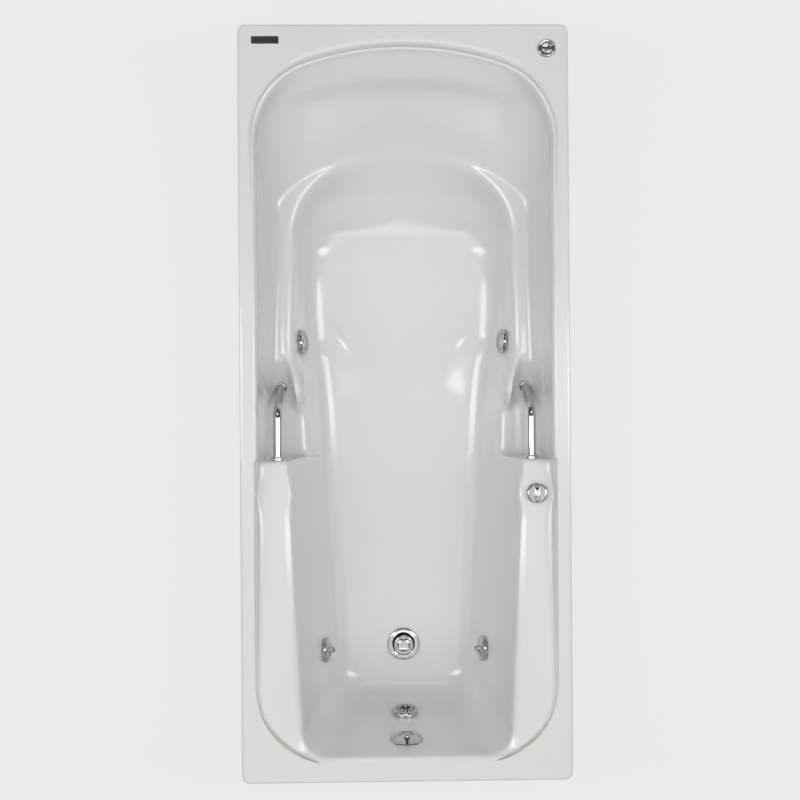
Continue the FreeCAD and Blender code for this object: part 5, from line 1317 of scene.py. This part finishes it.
def make_plate():
    """Bare plate with a raised border."""
    low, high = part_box("badge_plate")
    middle = (low + high) / 2
    place = Matrix.Translation((middle.x, middle.y, deck)) @ MM
    loops = []
    for inset, height, corner in ((0.0, 0.0, 3.0), (0.0, 1.1, 3.0), (0.2, 1.45, 2.8), (0.6, 1.6, 2.4),
                                  (1.5, 1.6, 1.8), (1.8, 1.35, 1.5), (2.1, 1.25, 1.3)):
        x, y = 33.0 - inset, 9.0 - inset
        loop = []
        for cx, cy, begin in ((x - corner, y - corner, 0), (corner - x, y - corner, 1),
                              (corner - x, corner - y, 2), (x - corner, corner - y, 3)):
            for k in range(7):
                angle = math.pi / 2 * (begin + k / 6)
                x_here, y_here = cx + corner * math.cos(angle), cy + corner * math.sin(angle)
                loop.append(place @ Vector((x_here, y_here, height)))
        loops.append(loop)
    bm = bmesh.new()
    rings = add_rows(bm, loops)
    bm.faces.new(rings[0])
    bm.faces.new(rings[-1])
    finish_bm(bm, "plain_plate", slot_of["badge_plate"], replaced=["badge_plate"], smooth_angle=30.0)


make_drain()
make_overflow()
make_lever()
make_suction()
make_jets()
make_knob()
make_button()
make_bars()
make_plate()

# ---------------------------------------------------------------- camera
camera_place = Vector((-0.078, 0.001, deck + 3.0))   # above the rim, left of the middle
camera_target = Vector((-0.0133, 0.0070, deck))
camera_roll = math.radians(-0.4)
field_of_view = math.radians(35.64)


def make_camera():
    data = bpy.data.cameras.new("camera")
    data.angle = field_of_view
    camera = bpy.data.objects.new("camera", data)
    bpy.context.scene.collection.objects.link(camera)
    camera.location = camera_place
    gaze = camera_target - camera_place
    across = Vector((math.cos(camera_roll), math.sin(camera_roll), 0.0))
    back = -gaze.normalized()
    up = back.cross(across).normalized()
    across = up.cross(back)
    camera.rotation_euler = Matrix((across, up, back)).transposed().to_euler()
    bpy.context.scene.camera = camera


# ---------------------------------------------------------------- stage and light
backdrop_tone = 0.831        # linear value of the pale background
glow_tone = 0.886            # the floor's own glow, which gives that tone with its share of shade
shadow_share = 0.16          # part of the floor's colour that lies in the light and shade
sky = ((0.0, backdrop_tone), (0.03, backdrop_tone), (0.08, 0.10), (0.35, 0.06), (0.60, 0.10),
       (0.85, 0.16), (1.0, 0.16))


def make_stage():
    """Pale floor; what is seen of it directly or in metal and glass is mostly its plain tone."""
    bm = bmesh.new()
    bmesh.ops.create_grid(bm, x_segments=8, y_segments=8, size=60.0)
    mesh = mesh_from(bm, "floor")
    n = Nodes("floor_pale")
    n.colour(n.ramp(n.noise(0.8), grey(0.70), grey(0.71)))
    n.shader.inputs["Roughness"].default_value = 0.9
    n.shader.inputs["Specular IOR Level"].default_value = 0.0
    path = n.add("ShaderNodeLightPath").outputs
    seen = n.add("ShaderNodeMath", operation="MAXIMUM")
    n.link(path["Is Camera Ray"], seen.inputs[0])
    n.link(path["Is Glossy Ray"], seen.inputs[1])
    through = n.add("ShaderNodeMath", operation="MAXIMUM")
    n.link(seen.outputs[0], through.inputs[0])
    n.link(path["Is Transmission Ray"], through.inputs[1])
    share = n.add("ShaderNodeMath", operation="MULTIPLY")
    share.inputs[1].default_value = 1.0 - shadow_share
    n.link(through.outputs[0], share.inputs[0])
    glow = n.add("ShaderNodeEmission", Color=(*grey(glow_tone), 1.0), Strength=1.0)
    blend = n.add("ShaderNodeMixShader")
    n.link(share.outputs[0], blend.inputs["Fac"])
    n.link(n.shader.outputs["BSDF"], blend.inputs[1])
    n.link(glow.outputs["Emission"], blend.inputs[2])
    n.link(blend.outputs["Shader"], n.tree.nodes["Material Output"].inputs["Surface"])
    mesh.materials.append(n.material)
    floor = bpy.data.objects.new("floor", mesh)
    bpy.context.scene.collection.objects.link(floor)


def area_light(name, place, target, size, power):
    data = bpy.data.lights.new(name, "AREA")
    data.shape = "RECTANGLE"
    data.size, data.size_y = size
    data.energy = power
    light = bpy.data.objects.new(name, data)
    bpy.context.scene.collection.objects.link(light)
    light.location = place
    light.rotation_euler = (Vector(target) - Vector(place)).to_track_quat("-Z", "Y").to_euler()


def make_world():
    """Studio room: pale horizon, dark upper walls and a soft bright ceiling."""
    world = bpy.data.worlds.new("studio")
    bpy.context.scene.world = world
    world.use_nodes = True
    tree = world.node_tree
    shade = tree.nodes["Background"]
    place = tree.nodes.new("ShaderNodeTexCoord")
    parts = tree.nodes.new("ShaderNodeSeparateXYZ")
    ramp = tree.nodes.new("ShaderNodeValToRGB")
    elements = ramp.color_ramp.elements
    brightest = max(value for position, value in sky)
    for position, value in sky[1:-1]:
        elements.new(position).color = (*grey(value / brightest), 1.0)
    elements[0].color = (*grey(sky[0][1] / brightest), 1.0)
    elements[-1].color = (*grey(sky[-1][1] / brightest), 1.0)
    tree.links.new(place.outputs["Generated"], parts.inputs["Vector"])
    tree.links.new(parts.outputs["Z"], ramp.inputs["Fac"])
    tree.links.new(ramp.outputs["Color"], shade.inputs["Color"])
    shade.inputs["Strength"].default_value = brightest


# Each lamp: place, size and power. All of them face the middle of the deck.
lamps = {
    "overhead": ((0.0, -1.5, 6.5), (6.0, 5.0), 74.0),
    "key_foot": ((0.0, -2.9, 4.2), (2.4, 1.0), 18.0),
    "key_head": ((0.0, 2.9, 4.2), (2.4, 1.0), 19.0),
    "side_left": ((-2.4, 0.1, 3.6), (0.8, 3.2), 56.0),
    "side_right": ((2.4, 0.1, 3.6), (0.8, 3.2), 54.0),
}


def make_lights():
    for name, (place, size, power) in lamps.items():
        area_light(name, place, (0.0, 0.0, deck), size, power)


make_camera()
make_stage()
make_world()
make_lights()
bpy.context.scene.view_settings.view_transform = "Standard"
